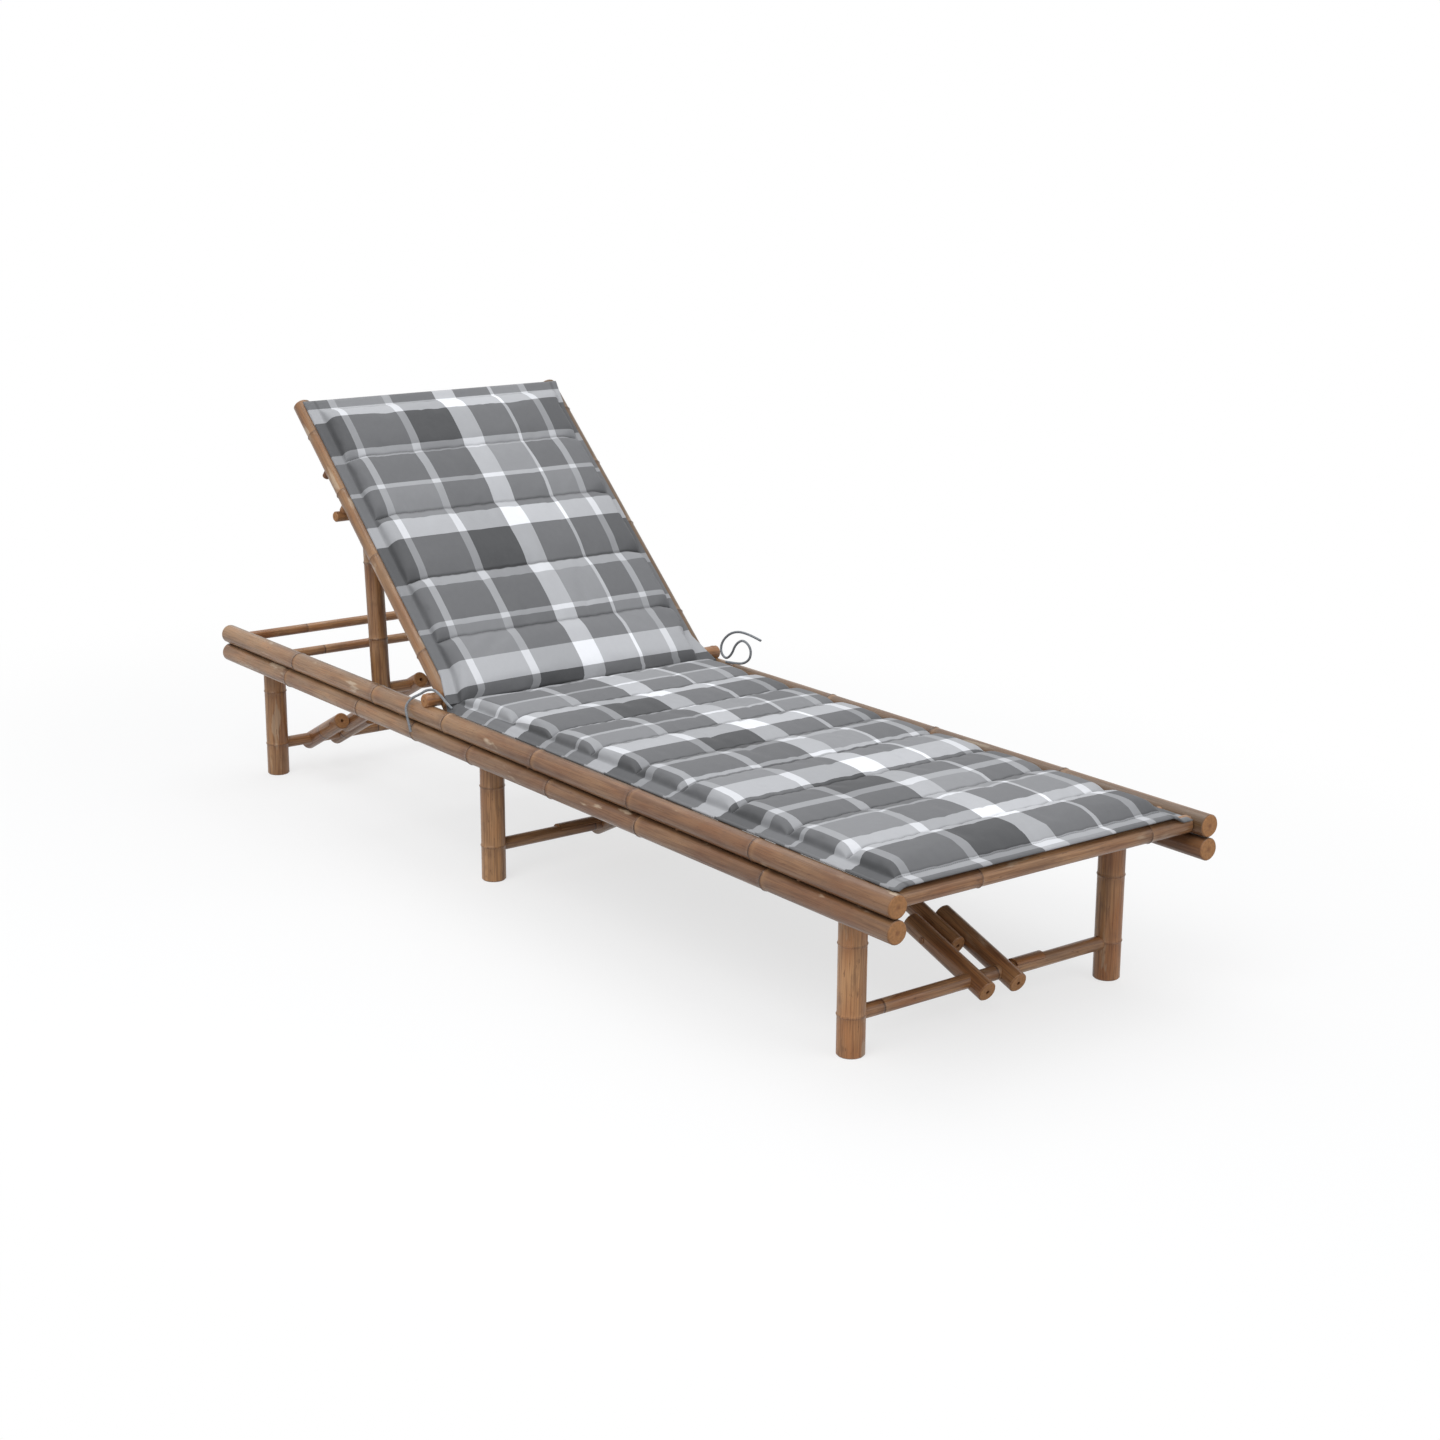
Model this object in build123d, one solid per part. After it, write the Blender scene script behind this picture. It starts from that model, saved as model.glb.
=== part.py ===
from build123d import *
import math
import os

# Bamboo chaise longue: folding frame on three pairs of legs, propped backrest and a channelled pad.
# +X points to the foot end, +Y to the sitter's left, +Z up. The origin is on the floor, under the middle.

# Cane stock (mm)
RAIL_DIA = 35.0
LEG_DIA = 42.0
RUNG_DIA = 22.0
BAR_DIA = 22.0
AXLE_DIA = 18.0
FOOT_BAR_DIA = 27.0
HEAD_BAR_DIA = 18.0
BRACE_DIA = 32.0
BACK_POLE_DIA = 32.0
BACK_RUNG_DIA = 20.0
HINGE_BAR_DIA = 24.0
POST_DIA = 34.0
PROP_DOWEL_DIA = 19.0
CATCH_DIA = 14.0
PEG_DIA = 9.0
PIN_DIA = 10.0

# Cane details (mm)
NODE_RIDGE = 1.2
NODE_WIDTH = 6.0
END_EASE = 2.0
PITH_DIA = 6.0
PITH_DEPTH = 10.0

# Clearances (mm)
GLUE_GAP = 0.05
TURNING_GAP = 0.08
SIDE_GAP = 0.3
OPEN_PIN_GAP = 0.5

# Frame (mm)
LENGTH = 2000.0
RAIL_SPACING = 610.0
AXLE_HEIGHT = 236.0
TENON_DEPTH = 20.0
FOOT_BAR_INSET = 29.0
FOOT_TENON_DIA = 22.0
HEAD_BAR_INSET = 45.0
REAR_RUNG_FROM_HINGE = 52.0
FRONT_RUNG_INSET = 88.0
LEG_RUNG_CLEARANCE = 135.0
FIELD_RUNGS = 6
HEAD_PEG_INSET = 200.0
PEG_FROM_BAR = 60.0
UPPER_RAIL_NODES = (-702.0, -400.0, -158.0, 121.0, 391.0, 695.0)
LOWER_RAIL_NODES = (-737.0, -461.0, -264.0, -78.0, 164.0, 412.0, 722.0)

# Legs (mm)
FRONT_LEG_INSET = 148.0
MIDDLE_LEG_FROM_HINGE = 124.0
REAR_LEG_INSET = 91.0
LEG_TOP_OVER_AXLE = 14.0
LEG_NODES = (62.0, 168.0)
STRETCHER_HEIGHT = 60.0
STRETCHER_TENON = 28.0
SPACER_DIA = 30.0
SPACER_WIDTH = 8.0

# Folding braces (mm, degrees)
LEG_FOLD = 80.0
BRACE_BARS_BACK = 22.5
BRACE_BAR_GAP = 105.0
BRACE_SPACING = 62.0
BRACE_LANE = 8.0
BRACE_TOP_TAIL = 45.0
REAR_BRACE_TOP_TAIL = 20.0
BRACE_LOW_TAIL = 33.0
LINK_LOW_TAIL = 31.0
LINK_TOP_TAIL = 30.0
FRONT_STRIP_LENGTH = 58.0
MIDDLE_STRIP_LENGTH = 86.0
STRIP_THICKNESS = 3.5
STRIP_ARC = 150.0
PIN_HEAD = 1.0

# Backrest (mm, degrees)
BACK_ANGLE = 42.0
HINGE_FROM_HEAD = 773.0
HINGE_SADDLE = 3.0
HINGE_BAR_OVERHANG = 10.0
BACK_SIDE_GAP = 3.5
BACK_POLE_TAIL = 20.0
TOP_BAR_REACH = 650.0
TOP_BAR_END = 24.0
BACK_RUNGS = 3
BACK_TENON_DEPTH = 18.0
BACK_POLE_NODES = (95.0, 310.0, 462.0, 600.0)

# Prop (mm)
PROP_BAR_FROM_HINGE = 335.0
POST_SPACING = 424.0
PROP_DOWEL_REACH = 443.0
PROP_DOWEL_BEHIND = 42.3
POST_FOOT_TAIL = 24.0
POST_HEAD_TAIL = 22.0
POST_NODES = (120.0, 262.0)
POST_BRACE_GAP = 4.0
CATCH_PAST_DOWEL = 4.0
CATCH_SPACING = 82.0
CATCH_DEPTH = 20.0
RUNG_PAST_CATCH = 40.5

# Pad (mm)
PAD_HEM = 28.0
HEM_THICKNESS = 5.0
HEM_CORNER = 18.0
PAD_CROWN = 27.0
PAD_GROOVE = 20.0
PAD_EDGE = 9.0
SEAT_PAD_FROM_HINGE = 37.0
SEAT_PAD_INSET = 12.0
SEAT_PAD_LAP = 2.5
SEAT_CHANNELS = 9
BACK_PAD_START = 20.0
BACK_PAD_SHORT_OF_TOP = 8.0
BACK_PAD_LAP = 4.0
BACK_PAD_SHIFT = -6.0
BACK_CHANNELS = 5

# Ties (mm)
TIE_DIA = 4.5

# Places worked out from the sizes above
RAIL_R = RAIL_DIA / 2
LEG_R = LEG_DIA / 2
BRACE_R = BRACE_DIA / 2
HEAD_END = -LENGTH / 2
FOOT_END = LENGTH / 2
RAIL_Y = RAIL_SPACING / 2
LOWER_Z = AXLE_HEIGHT
UPPER_Z = LOWER_Z + RAIL_DIA + NODE_RIDGE + GLUE_GAP
RAIL_INNER_Y = RAIL_Y - RAIL_R
CROSS_HALF = RAIL_INNER_Y + TENON_DEPTH
LEG_Y = RAIL_INNER_Y - GLUE_GAP - SPACER_WIDTH - SIDE_GAP - NODE_RIDGE - LEG_R
HINGE_X = HEAD_END + HINGE_FROM_HEAD
FRONT_LEG_X = FOOT_END - FRONT_LEG_INSET
MIDDLE_LEG_X = HINGE_X + MIDDLE_LEG_FROM_HINGE
REAR_LEG_X = HEAD_END + REAR_LEG_INSET
PROP_BAR_X = HINGE_X - PROP_BAR_FROM_HINGE
FRONT_BRACE_BAR_X = (FRONT_LEG_X + MIDDLE_LEG_X) / 2 - BRACE_BARS_BACK
MIDDLE_BRACE_BAR_X = FRONT_BRACE_BAR_X - BRACE_BAR_GAP
FOOT_BAR_X = FOOT_END - FOOT_BAR_INSET
HEAD_BAR_X = HEAD_END + HEAD_BAR_INSET
FIELD_START = MIDDLE_LEG_X + LEG_RUNG_CLEARANCE
FIELD_PITCH = (FRONT_LEG_X - LEG_RUNG_CLEARANCE - FIELD_START) / (FIELD_RUNGS - 1)
FIELD_RUNG_X = [FIELD_START + number * FIELD_PITCH for number in range(FIELD_RUNGS)]
SEAT_RUNG_X = [HINGE_X + REAR_RUNG_FROM_HINGE] + FIELD_RUNG_X + [FOOT_END - FRONT_RUNG_INSET]
RAIL_PEG_X = (HEAD_END + HEAD_PEG_INSET, PROP_BAR_X + 4 * PEG_FROM_BAR, FIELD_RUNG_X[0] + PEG_FROM_BAR,
              FIELD_RUNG_X[3] + PEG_FROM_BAR, FRONT_LEG_X - PEG_FROM_BAR)
LINK_DIA = BRACE_SPACING - BRACE_DIA - 2 * SIDE_GAP
SWING = AXLE_HEIGHT - STRETCHER_HEIGHT
HINGE_Z = UPPER_Z + RAIL_R + HINGE_BAR_DIA / 2 - HINGE_SADDLE
HINGE_BAR_LENGTH = RAIL_SPACING + 2 * HINGE_BAR_OVERHANG
BACK_Y = RAIL_INNER_Y - BACK_SIDE_GAP - BACK_POLE_DIA / 2
BACK_POLE_REACH = TOP_BAR_REACH + TOP_BAR_END
BACK_INNER_Y = BACK_Y - BACK_POLE_DIA / 2
HINGE = Vector(HINGE_X, 0, HINGE_Z)
BACK_UP = Vector(-math.cos(math.radians(BACK_ANGLE)), 0, math.sin(math.radians(BACK_ANGLE)))
BACK_REAR = Vector(-math.sin(math.radians(BACK_ANGLE)), 0, -math.cos(math.radians(BACK_ANGLE)))
PROP_PIVOT = Vector(PROP_BAR_X, 0, AXLE_HEIGHT)
PROP_TOP = HINGE + BACK_UP * PROP_DOWEL_REACH + BACK_REAR * PROP_DOWEL_BEHIND
PROP_DOWEL_LENGTH = 2 * BACK_Y + BACK_POLE_DIA
CATCH_REACH = (PROP_DOWEL_REACH + CATCH_PAST_DOWEL, PROP_DOWEL_REACH + CATCH_PAST_DOWEL + CATCH_SPACING)
TOP_RUNG_REACH = CATCH_REACH[0] + RUNG_PAST_CATCH
BACK_RUNG_REACH = [TOP_RUNG_REACH * number / BACK_RUNGS for number in range(1, BACK_RUNGS + 1)]
CATCH_TIP = PROP_DOWEL_BEHIND - PROP_DOWEL_DIA / 2 - SIDE_GAP
POST_INNER_Y = (POST_SPACING - POST_DIA) / 2 - NODE_RIDGE
REAR_BRACE_LANE = -(POST_INNER_Y - POST_BRACE_GAP - BRACE_R - BRACE_SPACING / 2)
SEAT_PAD_REAR = HINGE_X + SEAT_PAD_FROM_HINGE
SEAT_PAD_FRONT = FOOT_END - SEAT_PAD_INSET
SEAT_PAD_WIDTH = 2 * (RAIL_INNER_Y + SEAT_PAD_LAP)
BACK_PAD_END = BACK_POLE_REACH - BACK_PAD_SHORT_OF_TOP
BACK_PAD_WIDTH = 2 * (BACK_Y + BACK_PAD_LAP)

# Leg pairs: name, leg place, anchor bar place, lane of the brace, tail of the brace above its pin
LEG_PAIRS = (
    ("front", FRONT_LEG_X, FRONT_BRACE_BAR_X, BRACE_LANE, BRACE_TOP_TAIL),
    ("middle", MIDDLE_LEG_X, MIDDLE_BRACE_BAR_X, BRACE_LANE, BRACE_TOP_TAIL),
    ("rear", REAR_LEG_X, PROP_BAR_X, REAR_BRACE_LANE, REAR_BRACE_TOP_TAIL),
)
# Stop strips on the stretchers: pair, side of the brace they sit on, length
STOP_STRIPS = (("front", 1, FRONT_STRIP_LENGTH), ("middle", -1, MIDDLE_STRIP_LENGTH))

# Cushion ties, in the order that each cord runs: ahead of the hinge, out from the hem, above the rail axis
LEFT_TIE = (
    (143.0, 16.5, 75.8),
    (97.0, 17.5, 82.8),
    (55.0, 17.5, 75.8),
    (27.0, 16.5, 53.8),
    (24.0, 15.0, 31.8),
    (43.0, 13.5, 21.8),
    (61.0, 13.5, 34.8),
    (75.0, 11.0, 56.8),
    (99.0, 10.0, 70.8),
    (121.0, 11.0, 59.8),
    (119.0, 12.5, 38.8),
    (101.0, 12.0, 25.2),
    (79.0, 8.5, 21.8),
    (57.0, 2.7, 21.6),
)
RIGHT_TIE = (
    (57.0, 2.7, 21.6),
    (41.0, 3.5, 27.2),
    (24.0, 5.0, 38.8),
    (3.0, 6.5, 45.2),
    (-19.0, 9.0, 39.8),
    (-31.0, 14.0, 30.8),
    (-43.0, 26.0, 22.8),
    (-43.0, 38.0, 8.8),
    (-31.0, 40.0, -9.2),
    (-21.0, 40.0, -30.2),
)


def cane(length, dia, nodes=(), pith=False):
    """Cane along +X with a raised ring at each node, eased ends and, where it shows, a pith hole."""
    r = dia / 2
    outline = [(0, 0), (0, r - END_EASE), (END_EASE, r)]
    for place in sorted(nodes):
        outline.append((place - NODE_WIDTH / 2, r))
        outline.append((place, r + NODE_RIDGE))
        outline.append((place + NODE_WIDTH / 2, r))
    outline += [(length - END_EASE, r), (length, r - END_EASE), (length, 0)]
    solid = revolve(make_face(Polyline(*outline, close=True)), Axis.X)
    if pith:
        for end in (0, length):
            solid -= Pos(end, 0, 0) * Rot(0, 90, 0) * Cylinder(PITH_DIA / 2, 2 * PITH_DEPTH)
    return solid


def laid(solid, start, direction):
    """Lay a cane built along +X from a start point in a direction square to Y."""
    return Plane(origin=start, x_dir=direction, z_dir=(0, 1, 0)).location * solid


def rod(x, z, dia, y_from, y_to):
    """Round rod along Y."""
    return Pos(x, (y_from + y_to) / 2, z) * Rot(90, 0, 0) * Cylinder(dia / 2, y_to - y_from)


def side_rod(x, z, dia, side, inner, outer):
    """Round rod along Y on one side of the middle plane."""
    return rod(x, z, dia, min(side * inner, side * outer), max(side * inner, side * outer))


def upright(x, y, dia, z_from, z_to):
    """Round rod along Z."""
    return Pos(x, y, (z_from + z_to) / 2) * Cylinder(dia / 2, z_to - z_from)


def crosswise(length, dia, x, z, nodes=()):
    """Cane along Y, centred on the middle plane."""
    place = Plane(origin=(x, -length / 2, z), x_dir=(0, 1, 0), z_dir=(0, 0, 1))
    return place.location * cane(length, dia, nodes)


def save(name, shape):
    """Write one node."""
    export_step(shape, f"parts/{name}.step")


# Places of the bars held by the rails: upper rails carry the deck, lower rails the axles and anchors
UPPER_BARS = [(x, RUNG_DIA) for x in SEAT_RUNG_X]
UPPER_BARS += [(FOOT_BAR_X, FOOT_TENON_DIA), (HEAD_BAR_X, HEAD_BAR_DIA)]
LOWER_BARS = [(pair[1], AXLE_DIA) for pair in LEG_PAIRS]
LOWER_BARS += [(pair[2], BAR_DIA) for pair in LEG_PAIRS]
RAIL_PEG_TOP = UPPER_Z + RAIL_R / 2
RAIL_PEG_FOOT = LOWER_Z - RAIL_R + END_EASE
HINGE_PEG_TOP = HINGE_Z + HINGE_BAR_DIA / 2 - GLUE_GAP
HINGE_PEG_FOOT = UPPER_Z + PEG_DIA / 2


def side_rail(side, z, nodes, bars):
    """Side rail with its blind holes for the bars and for the pegs that join the two rails."""
    rings = [LENGTH / 2 + x for x in nodes]
    rail = laid(cane(LENGTH, RAIL_DIA, rings), (-LENGTH / 2, side * RAIL_Y, z), (1, 0, 0))
    mouth = RAIL_INNER_Y - NODE_RIDGE - TENON_DEPTH
    bottom = CROSS_HALF + GLUE_GAP
    for x, dia in bars:
        rail -= side_rod(x, z, dia + 2 * GLUE_GAP, side, mouth, bottom)
    peg_hole = PEG_DIA + 2 * GLUE_GAP
    for x in RAIL_PEG_X:
        rail -= upright(x, side * RAIL_Y, peg_hole, LOWER_Z - RAIL_DIA, RAIL_PEG_TOP + GLUE_GAP)
    if z == UPPER_Z:
        rail -= upright(HINGE_X, side * RAIL_Y, peg_hole, HINGE_PEG_FOOT - GLUE_GAP, HINGE_Z)
    return rail


for side, label in ((1, "left"), (-1, "right")):
    save(f"{label}_upper_rail", side_rail(side, UPPER_Z, UPPER_RAIL_NODES, UPPER_BARS))
    save(f"{label}_lower_rail", side_rail(side, LOWER_Z, LOWER_RAIL_NODES, LOWER_BARS))

# Bars between the rails
for number, x in enumerate(SEAT_RUNG_X, start=1):
    save(f"seat_rung_{number}", crosswise(2 * CROSS_HALF, RUNG_DIA, x, UPPER_Z))
foot_bar = crosswise(2 * (RAIL_INNER_Y - GLUE_GAP), FOOT_BAR_DIA, FOOT_BAR_X, UPPER_Z, (150.0, 487.0))
foot_bar += rod(FOOT_BAR_X, UPPER_Z, FOOT_TENON_DIA, -CROSS_HALF, CROSS_HALF)
save("foot_bar", foot_bar)
save("head_bar", crosswise(2 * CROSS_HALF, HEAD_BAR_DIA, HEAD_BAR_X, UPPER_Z))
for name, leg_x, anchor_x, lane, tail in LEG_PAIRS:
    save(f"{name}_leg_axle", crosswise(2 * CROSS_HALF, AXLE_DIA, leg_x, LOWER_Z))
    bar_name = "prop_bar" if anchor_x == PROP_BAR_X else f"{name}_brace_bar"
    save(bar_name, crosswise(2 * CROSS_HALF, BAR_DIA, anchor_x, LOWER_Z))

# Hinge bar, saddled on the upper rails
hinge_bar = crosswise(HINGE_BAR_LENGTH, HINGE_BAR_DIA, HINGE_X, HINGE_Z)
pegs = []
for side in (1, -1):
    saddle_start = (HINGE_X - HINGE_BAR_DIA, side * RAIL_Y, UPPER_Z)
    hinge_bar -= laid(cane(2 * HINGE_BAR_DIA, RAIL_DIA + 2 * GLUE_GAP), saddle_start, (1, 0, 0))
    hinge_bar -= upright(HINGE_X, side * RAIL_Y, PEG_DIA + 2 * GLUE_GAP, UPPER_Z, HINGE_Z + HINGE_BAR_DIA)
    pegs.append(upright(HINGE_X, side * RAIL_Y, PEG_DIA, HINGE_PEG_FOOT, HINGE_PEG_TOP))
    for x in RAIL_PEG_X:
        pegs.append(upright(x, side * RAIL_Y, PEG_DIA, RAIL_PEG_FOOT, RAIL_PEG_TOP))
save("hinge_bar", hinge_bar)
save("frame_pegs", Compound(children=pegs))

# Spacer rings between the rails and the legs
spacers = []
SPACER_TO = RAIL_INNER_Y - GLUE_GAP
SPACER_FROM = SPACER_TO - SPACER_WIDTH
for name, leg_x, anchor_x, lane, tail in LEG_PAIRS:
    for side in (1, -1):
        ring = side_rod(leg_x, LOWER_Z, SPACER_DIA, side, SPACER_FROM, SPACER_TO)
        bore = side_rod(leg_x, LOWER_Z, AXLE_DIA + 2 * GLUE_GAP, side, SPACER_FROM, SPACER_TO)
        spacers.append(ring - bore)
save("leg_spacers", Compound(children=spacers))


def leg(x, side):
    """Leg with a turning hole for its axle and a blind hole for the stretcher."""
    height = AXLE_HEIGHT + LEG_TOP_OVER_AXLE
    solid = laid(cane(height, LEG_DIA, LEG_NODES), (x, side * LEG_Y, 0), (0, 0, 1))
    solid -= rod(x, AXLE_HEIGHT, AXLE_DIA + 2 * TURNING_GAP, side * LEG_Y - LEG_DIA, side * LEG_Y + LEG_DIA)
    bottom = LEG_Y - LEG_R + STRETCHER_TENON + GLUE_GAP
    return solid - side_rod(x, STRETCHER_HEIGHT, BAR_DIA + 2 * GLUE_GAP, side, LEG_Y - LEG_DIA, bottom)


def fold_lengths(reach):
    """Lengths of brace and link: in line when the legs stand, link level when the legs are folded."""
    span = math.hypot(reach, SWING)
    across = SWING * math.sin(math.radians(LEG_FOLD)) - reach + span
    down = SWING * math.cos(math.radians(LEG_FOLD))
    brace = (across * across + down * down) / (2 * across)
    return brace, span - brace


def brace_lane(pair_lane, number):
    """Middle of one of the two brace canes of a pair."""
    return pair_lane + (number - 0.5) * BRACE_SPACING


for name, leg_x, anchor_x, lane, tail in LEG_PAIRS:
    for side, label in ((1, "left"), (-1, "right")):
        save(f"{name}_{label}_leg", leg(leg_x, side))
    stretcher_half = LEG_Y - LEG_R + STRETCHER_TENON
    save(f"{name}_stretcher", crosswise(2 * stretcher_half, BAR_DIA, leg_x, STRETCHER_HEIGHT))

    foot = Vector(leg_x, 0, STRETCHER_HEIGHT)
    anchor = Vector(anchor_x, 0, AXLE_HEIGHT)
    rise = (anchor - foot).normalized()
    brace_length, link_length = fold_lengths(abs(anchor_x - leg_x))
    pin = foot + rise * brace_length
    pins = []
    for number, label in ((0, "right"), (1, "left")):
        y = brace_lane(lane, number)
        start = foot - rise * BRACE_LOW_TAIL + Vector(0, y, 0)
        brace = laid(cane(BRACE_LOW_TAIL + brace_length + tail, BRACE_DIA, (), True), start, rise)
        brace -= rod(leg_x, STRETCHER_HEIGHT, BAR_DIA + 2 * TURNING_GAP, y - BRACE_DIA, y + BRACE_DIA)
        brace -= rod(pin.X, pin.Z, PIN_DIA + 2 * GLUE_GAP, y - BRACE_DIA, y + BRACE_DIA)
        save(f"{name}_brace_{label}", brace)
        inner_face = lane + (number - 0.5) * (BRACE_SPACING - BRACE_DIA)
        outer_face = lane + (number - 0.5) * (BRACE_SPACING + BRACE_DIA + 2 * PIN_HEAD)
        pins.append(rod(pin.X, pin.Z, PIN_DIA, min(inner_face, outer_face), max(inner_face, outer_face)))
    save(f"{name}_brace_pins", Compound(children=pins))

    link_start = pin - rise * LINK_LOW_TAIL + Vector(0, lane, 0)
    link = laid(cane(LINK_LOW_TAIL + link_length + LINK_TOP_TAIL, LINK_DIA, (), True), link_start, rise)
    link -= rod(anchor_x, AXLE_HEIGHT, BAR_DIA + 2 * TURNING_GAP, lane - LINK_DIA, lane + LINK_DIA)
    link -= rod(pin.X, pin.Z, PIN_DIA + 2 * OPEN_PIN_GAP, lane - LINK_DIA, lane + LINK_DIA)
    save(f"{name}_link", link)

# Half-split stop strips that keep the braces in their lanes
for name, side, length in STOP_STRIPS:
    name, leg_x, anchor_x, lane, tail = next(pair for pair in LEG_PAIRS if pair[0] == name)
    face = lane + side * (BRACE_SPACING / 2 + BRACE_R + SIDE_GAP)
    shell = Circle(BAR_DIA / 2 + STRIP_THICKNESS) - Circle(BAR_DIA / 2 + GLUE_GAP)
    corner = BAR_DIA * math.tan(math.radians(STRIP_ARC / 4))
    wedge = make_face(Polyline((0, 0), (BAR_DIA, BAR_DIA), (-BAR_DIA, BAR_DIA), close=True))
    shell = shell & (Pos(0, -corner / 4) * wedge)
    strip = extrude(shell, length)
    toward = Plane(origin=(leg_x, face, STRETCHER_HEIGHT), x_dir=(-side, 0, 0), z_dir=(0, side, 0))
    save(f"{name}_stop_strip", toward.location * strip)

# Backrest frame
HINGE_LINE = Vector(HINGE_X, 0, HINGE_Z)
BACK_CROSS_HALF = BACK_INNER_Y + BACK_TENON_DEPTH


def back_point(reach, behind=0.0, y=0.0):
    """Point on the raised backrest, from the hinge up the poles and out behind them."""
    return HINGE_LINE + BACK_UP * reach + BACK_REAR * behind + Vector(0, y, 0)


def catch(reach, y, dia, depth):
    """Catch peg behind a backrest pole, from its seat in the pole to its tip."""
    seat = back_point(reach, BACK_POLE_DIA / 2 - depth, y)
    place = Plane(origin=seat, x_dir=(0, 1, 0), z_dir=BACK_REAR)
    return place.location * extrude(Circle(dia / 2), CATCH_TIP - BACK_POLE_DIA / 2 + depth)


catches = []
for side, label in ((1, "left"), (-1, "right")):
    rings = [BACK_POLE_TAIL + reach for reach in BACK_POLE_NODES]
    pole = laid(cane(BACK_POLE_TAIL + BACK_POLE_REACH, BACK_POLE_DIA, rings),
                back_point(-BACK_POLE_TAIL, 0, side * BACK_Y), BACK_UP)
    pole -= rod(HINGE_X, HINGE_Z, HINGE_BAR_DIA + 2 * TURNING_GAP,
                side * BACK_Y - BACK_POLE_DIA, side * BACK_Y + BACK_POLE_DIA)
    for reach in BACK_RUNG_REACH + [TOP_BAR_REACH]:
        spot = back_point(reach)
        mouth = BACK_INNER_Y - BACK_POLE_DIA / 2
        bottom = BACK_CROSS_HALF + GLUE_GAP
        pole -= side_rod(spot.X, spot.Z, BACK_RUNG_DIA + 2 * GLUE_GAP, side, mouth, bottom)
    for reach in CATCH_REACH:
        pole -= catch(reach, side * BACK_Y, CATCH_DIA + 2 * GLUE_GAP, CATCH_DEPTH + GLUE_GAP)
        catches.append(catch(reach, side * BACK_Y, CATCH_DIA, CATCH_DEPTH))
    save(f"{label}_backrest_pole", pole)
save("backrest_catches", Compound(children=catches))
for number, reach in enumerate(BACK_RUNG_REACH, start=1):
    spot = back_point(reach)
    save(f"backrest_rung_{number}", crosswise(2 * BACK_CROSS_HALF, BACK_RUNG_DIA, spot.X, spot.Z))
top = back_point(TOP_BAR_REACH)
save("backrest_top_bar", crosswise(2 * BACK_CROSS_HALF, BACK_RUNG_DIA, top.X, top.Z))

# Prop frame: two posts on the prop bar and a dowel through their heads, under the catches
PROP_RISE = (PROP_TOP - PROP_PIVOT).normalized()
PROP_HEIGHT = (PROP_TOP - PROP_PIVOT).length
for side, label in ((1, "left"), (-1, "right")):
    y = side * POST_SPACING / 2
    start = PROP_PIVOT - PROP_RISE * POST_FOOT_TAIL + Vector(0, y, 0)
    post = laid(cane(POST_FOOT_TAIL + PROP_HEIGHT + POST_HEAD_TAIL, POST_DIA, POST_NODES), start, PROP_RISE)
    post -= rod(PROP_PIVOT.X, PROP_PIVOT.Z, BAR_DIA + 2 * TURNING_GAP, y - POST_DIA, y + POST_DIA)
    post -= rod(PROP_TOP.X, PROP_TOP.Z, PROP_DOWEL_DIA + 2 * GLUE_GAP, y - POST_DIA, y + POST_DIA)
    save(f"{label}_prop_post", post)
save("prop_dowel", crosswise(PROP_DOWEL_LENGTH, PROP_DOWEL_DIA, PROP_TOP.X, PROP_TOP.Z))


def pad_section(length, channels, y, fullness, belly):
    """Lengthwise section of the stuffed part: flat below, one arc to each sewn channel above."""
    pitch = length / channels
    seams = [PAD_EDGE] + [PAD_GROOVE] * (channels - 1) + [PAD_EDGE]
    heights = [HEM_THICKNESS / 2 + (seam - HEM_THICKNESS / 2) * fullness for seam in seams]
    crown = HEM_THICKNESS / 2 + (PAD_CROWN - HEM_THICKNESS / 2) * fullness
    edges = [Line((0, heights[0]), (0, -belly)), Line((0, -belly), (length, -belly))]
    edges.append(Line((length, -belly), (length, heights[-1])))
    for number in reversed(range(channels)):
        near = (number * pitch, heights[number])
        far = ((number + 1) * pitch, heights[number + 1])
        edges.append(ThreePointArc(far, ((number + 0.5) * pitch, crown), near))
    place = Plane(origin=(0, y, 0), x_dir=(1, 0, 0), z_dir=(0, -1, 0))
    return place.location * make_face(edges)


def pad(length, width, channels, belly):
    """Channelled pad on a flat hem, from x = 0, resting on z = 0, with a belly between its carriers."""
    stuffed = length - 2 * PAD_HEM
    half = width / 2 - PAD_HEM
    shares = ((-1.0, 0.3, 0.0), (-0.93, 0.8, 0.6), (-0.5, 0.96, 1.0), (0.0, 1.0, 1.0),
              (0.5, 0.96, 1.0), (0.93, 0.8, 0.6), (1.0, 0.3, 0.0))
    sections = []
    for share, fullness, sag in shares:
        sections.append(pad_section(stuffed, channels, share * half, fullness, belly * sag))
    body = Pos(PAD_HEM, 0, 0) * loft(sections, ruled=True)
    hem = Pos(length / 2, 0, 0) * extrude(RectangleRounded(length, width, HEM_CORNER), HEM_THICKNESS)
    return body + hem


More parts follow.
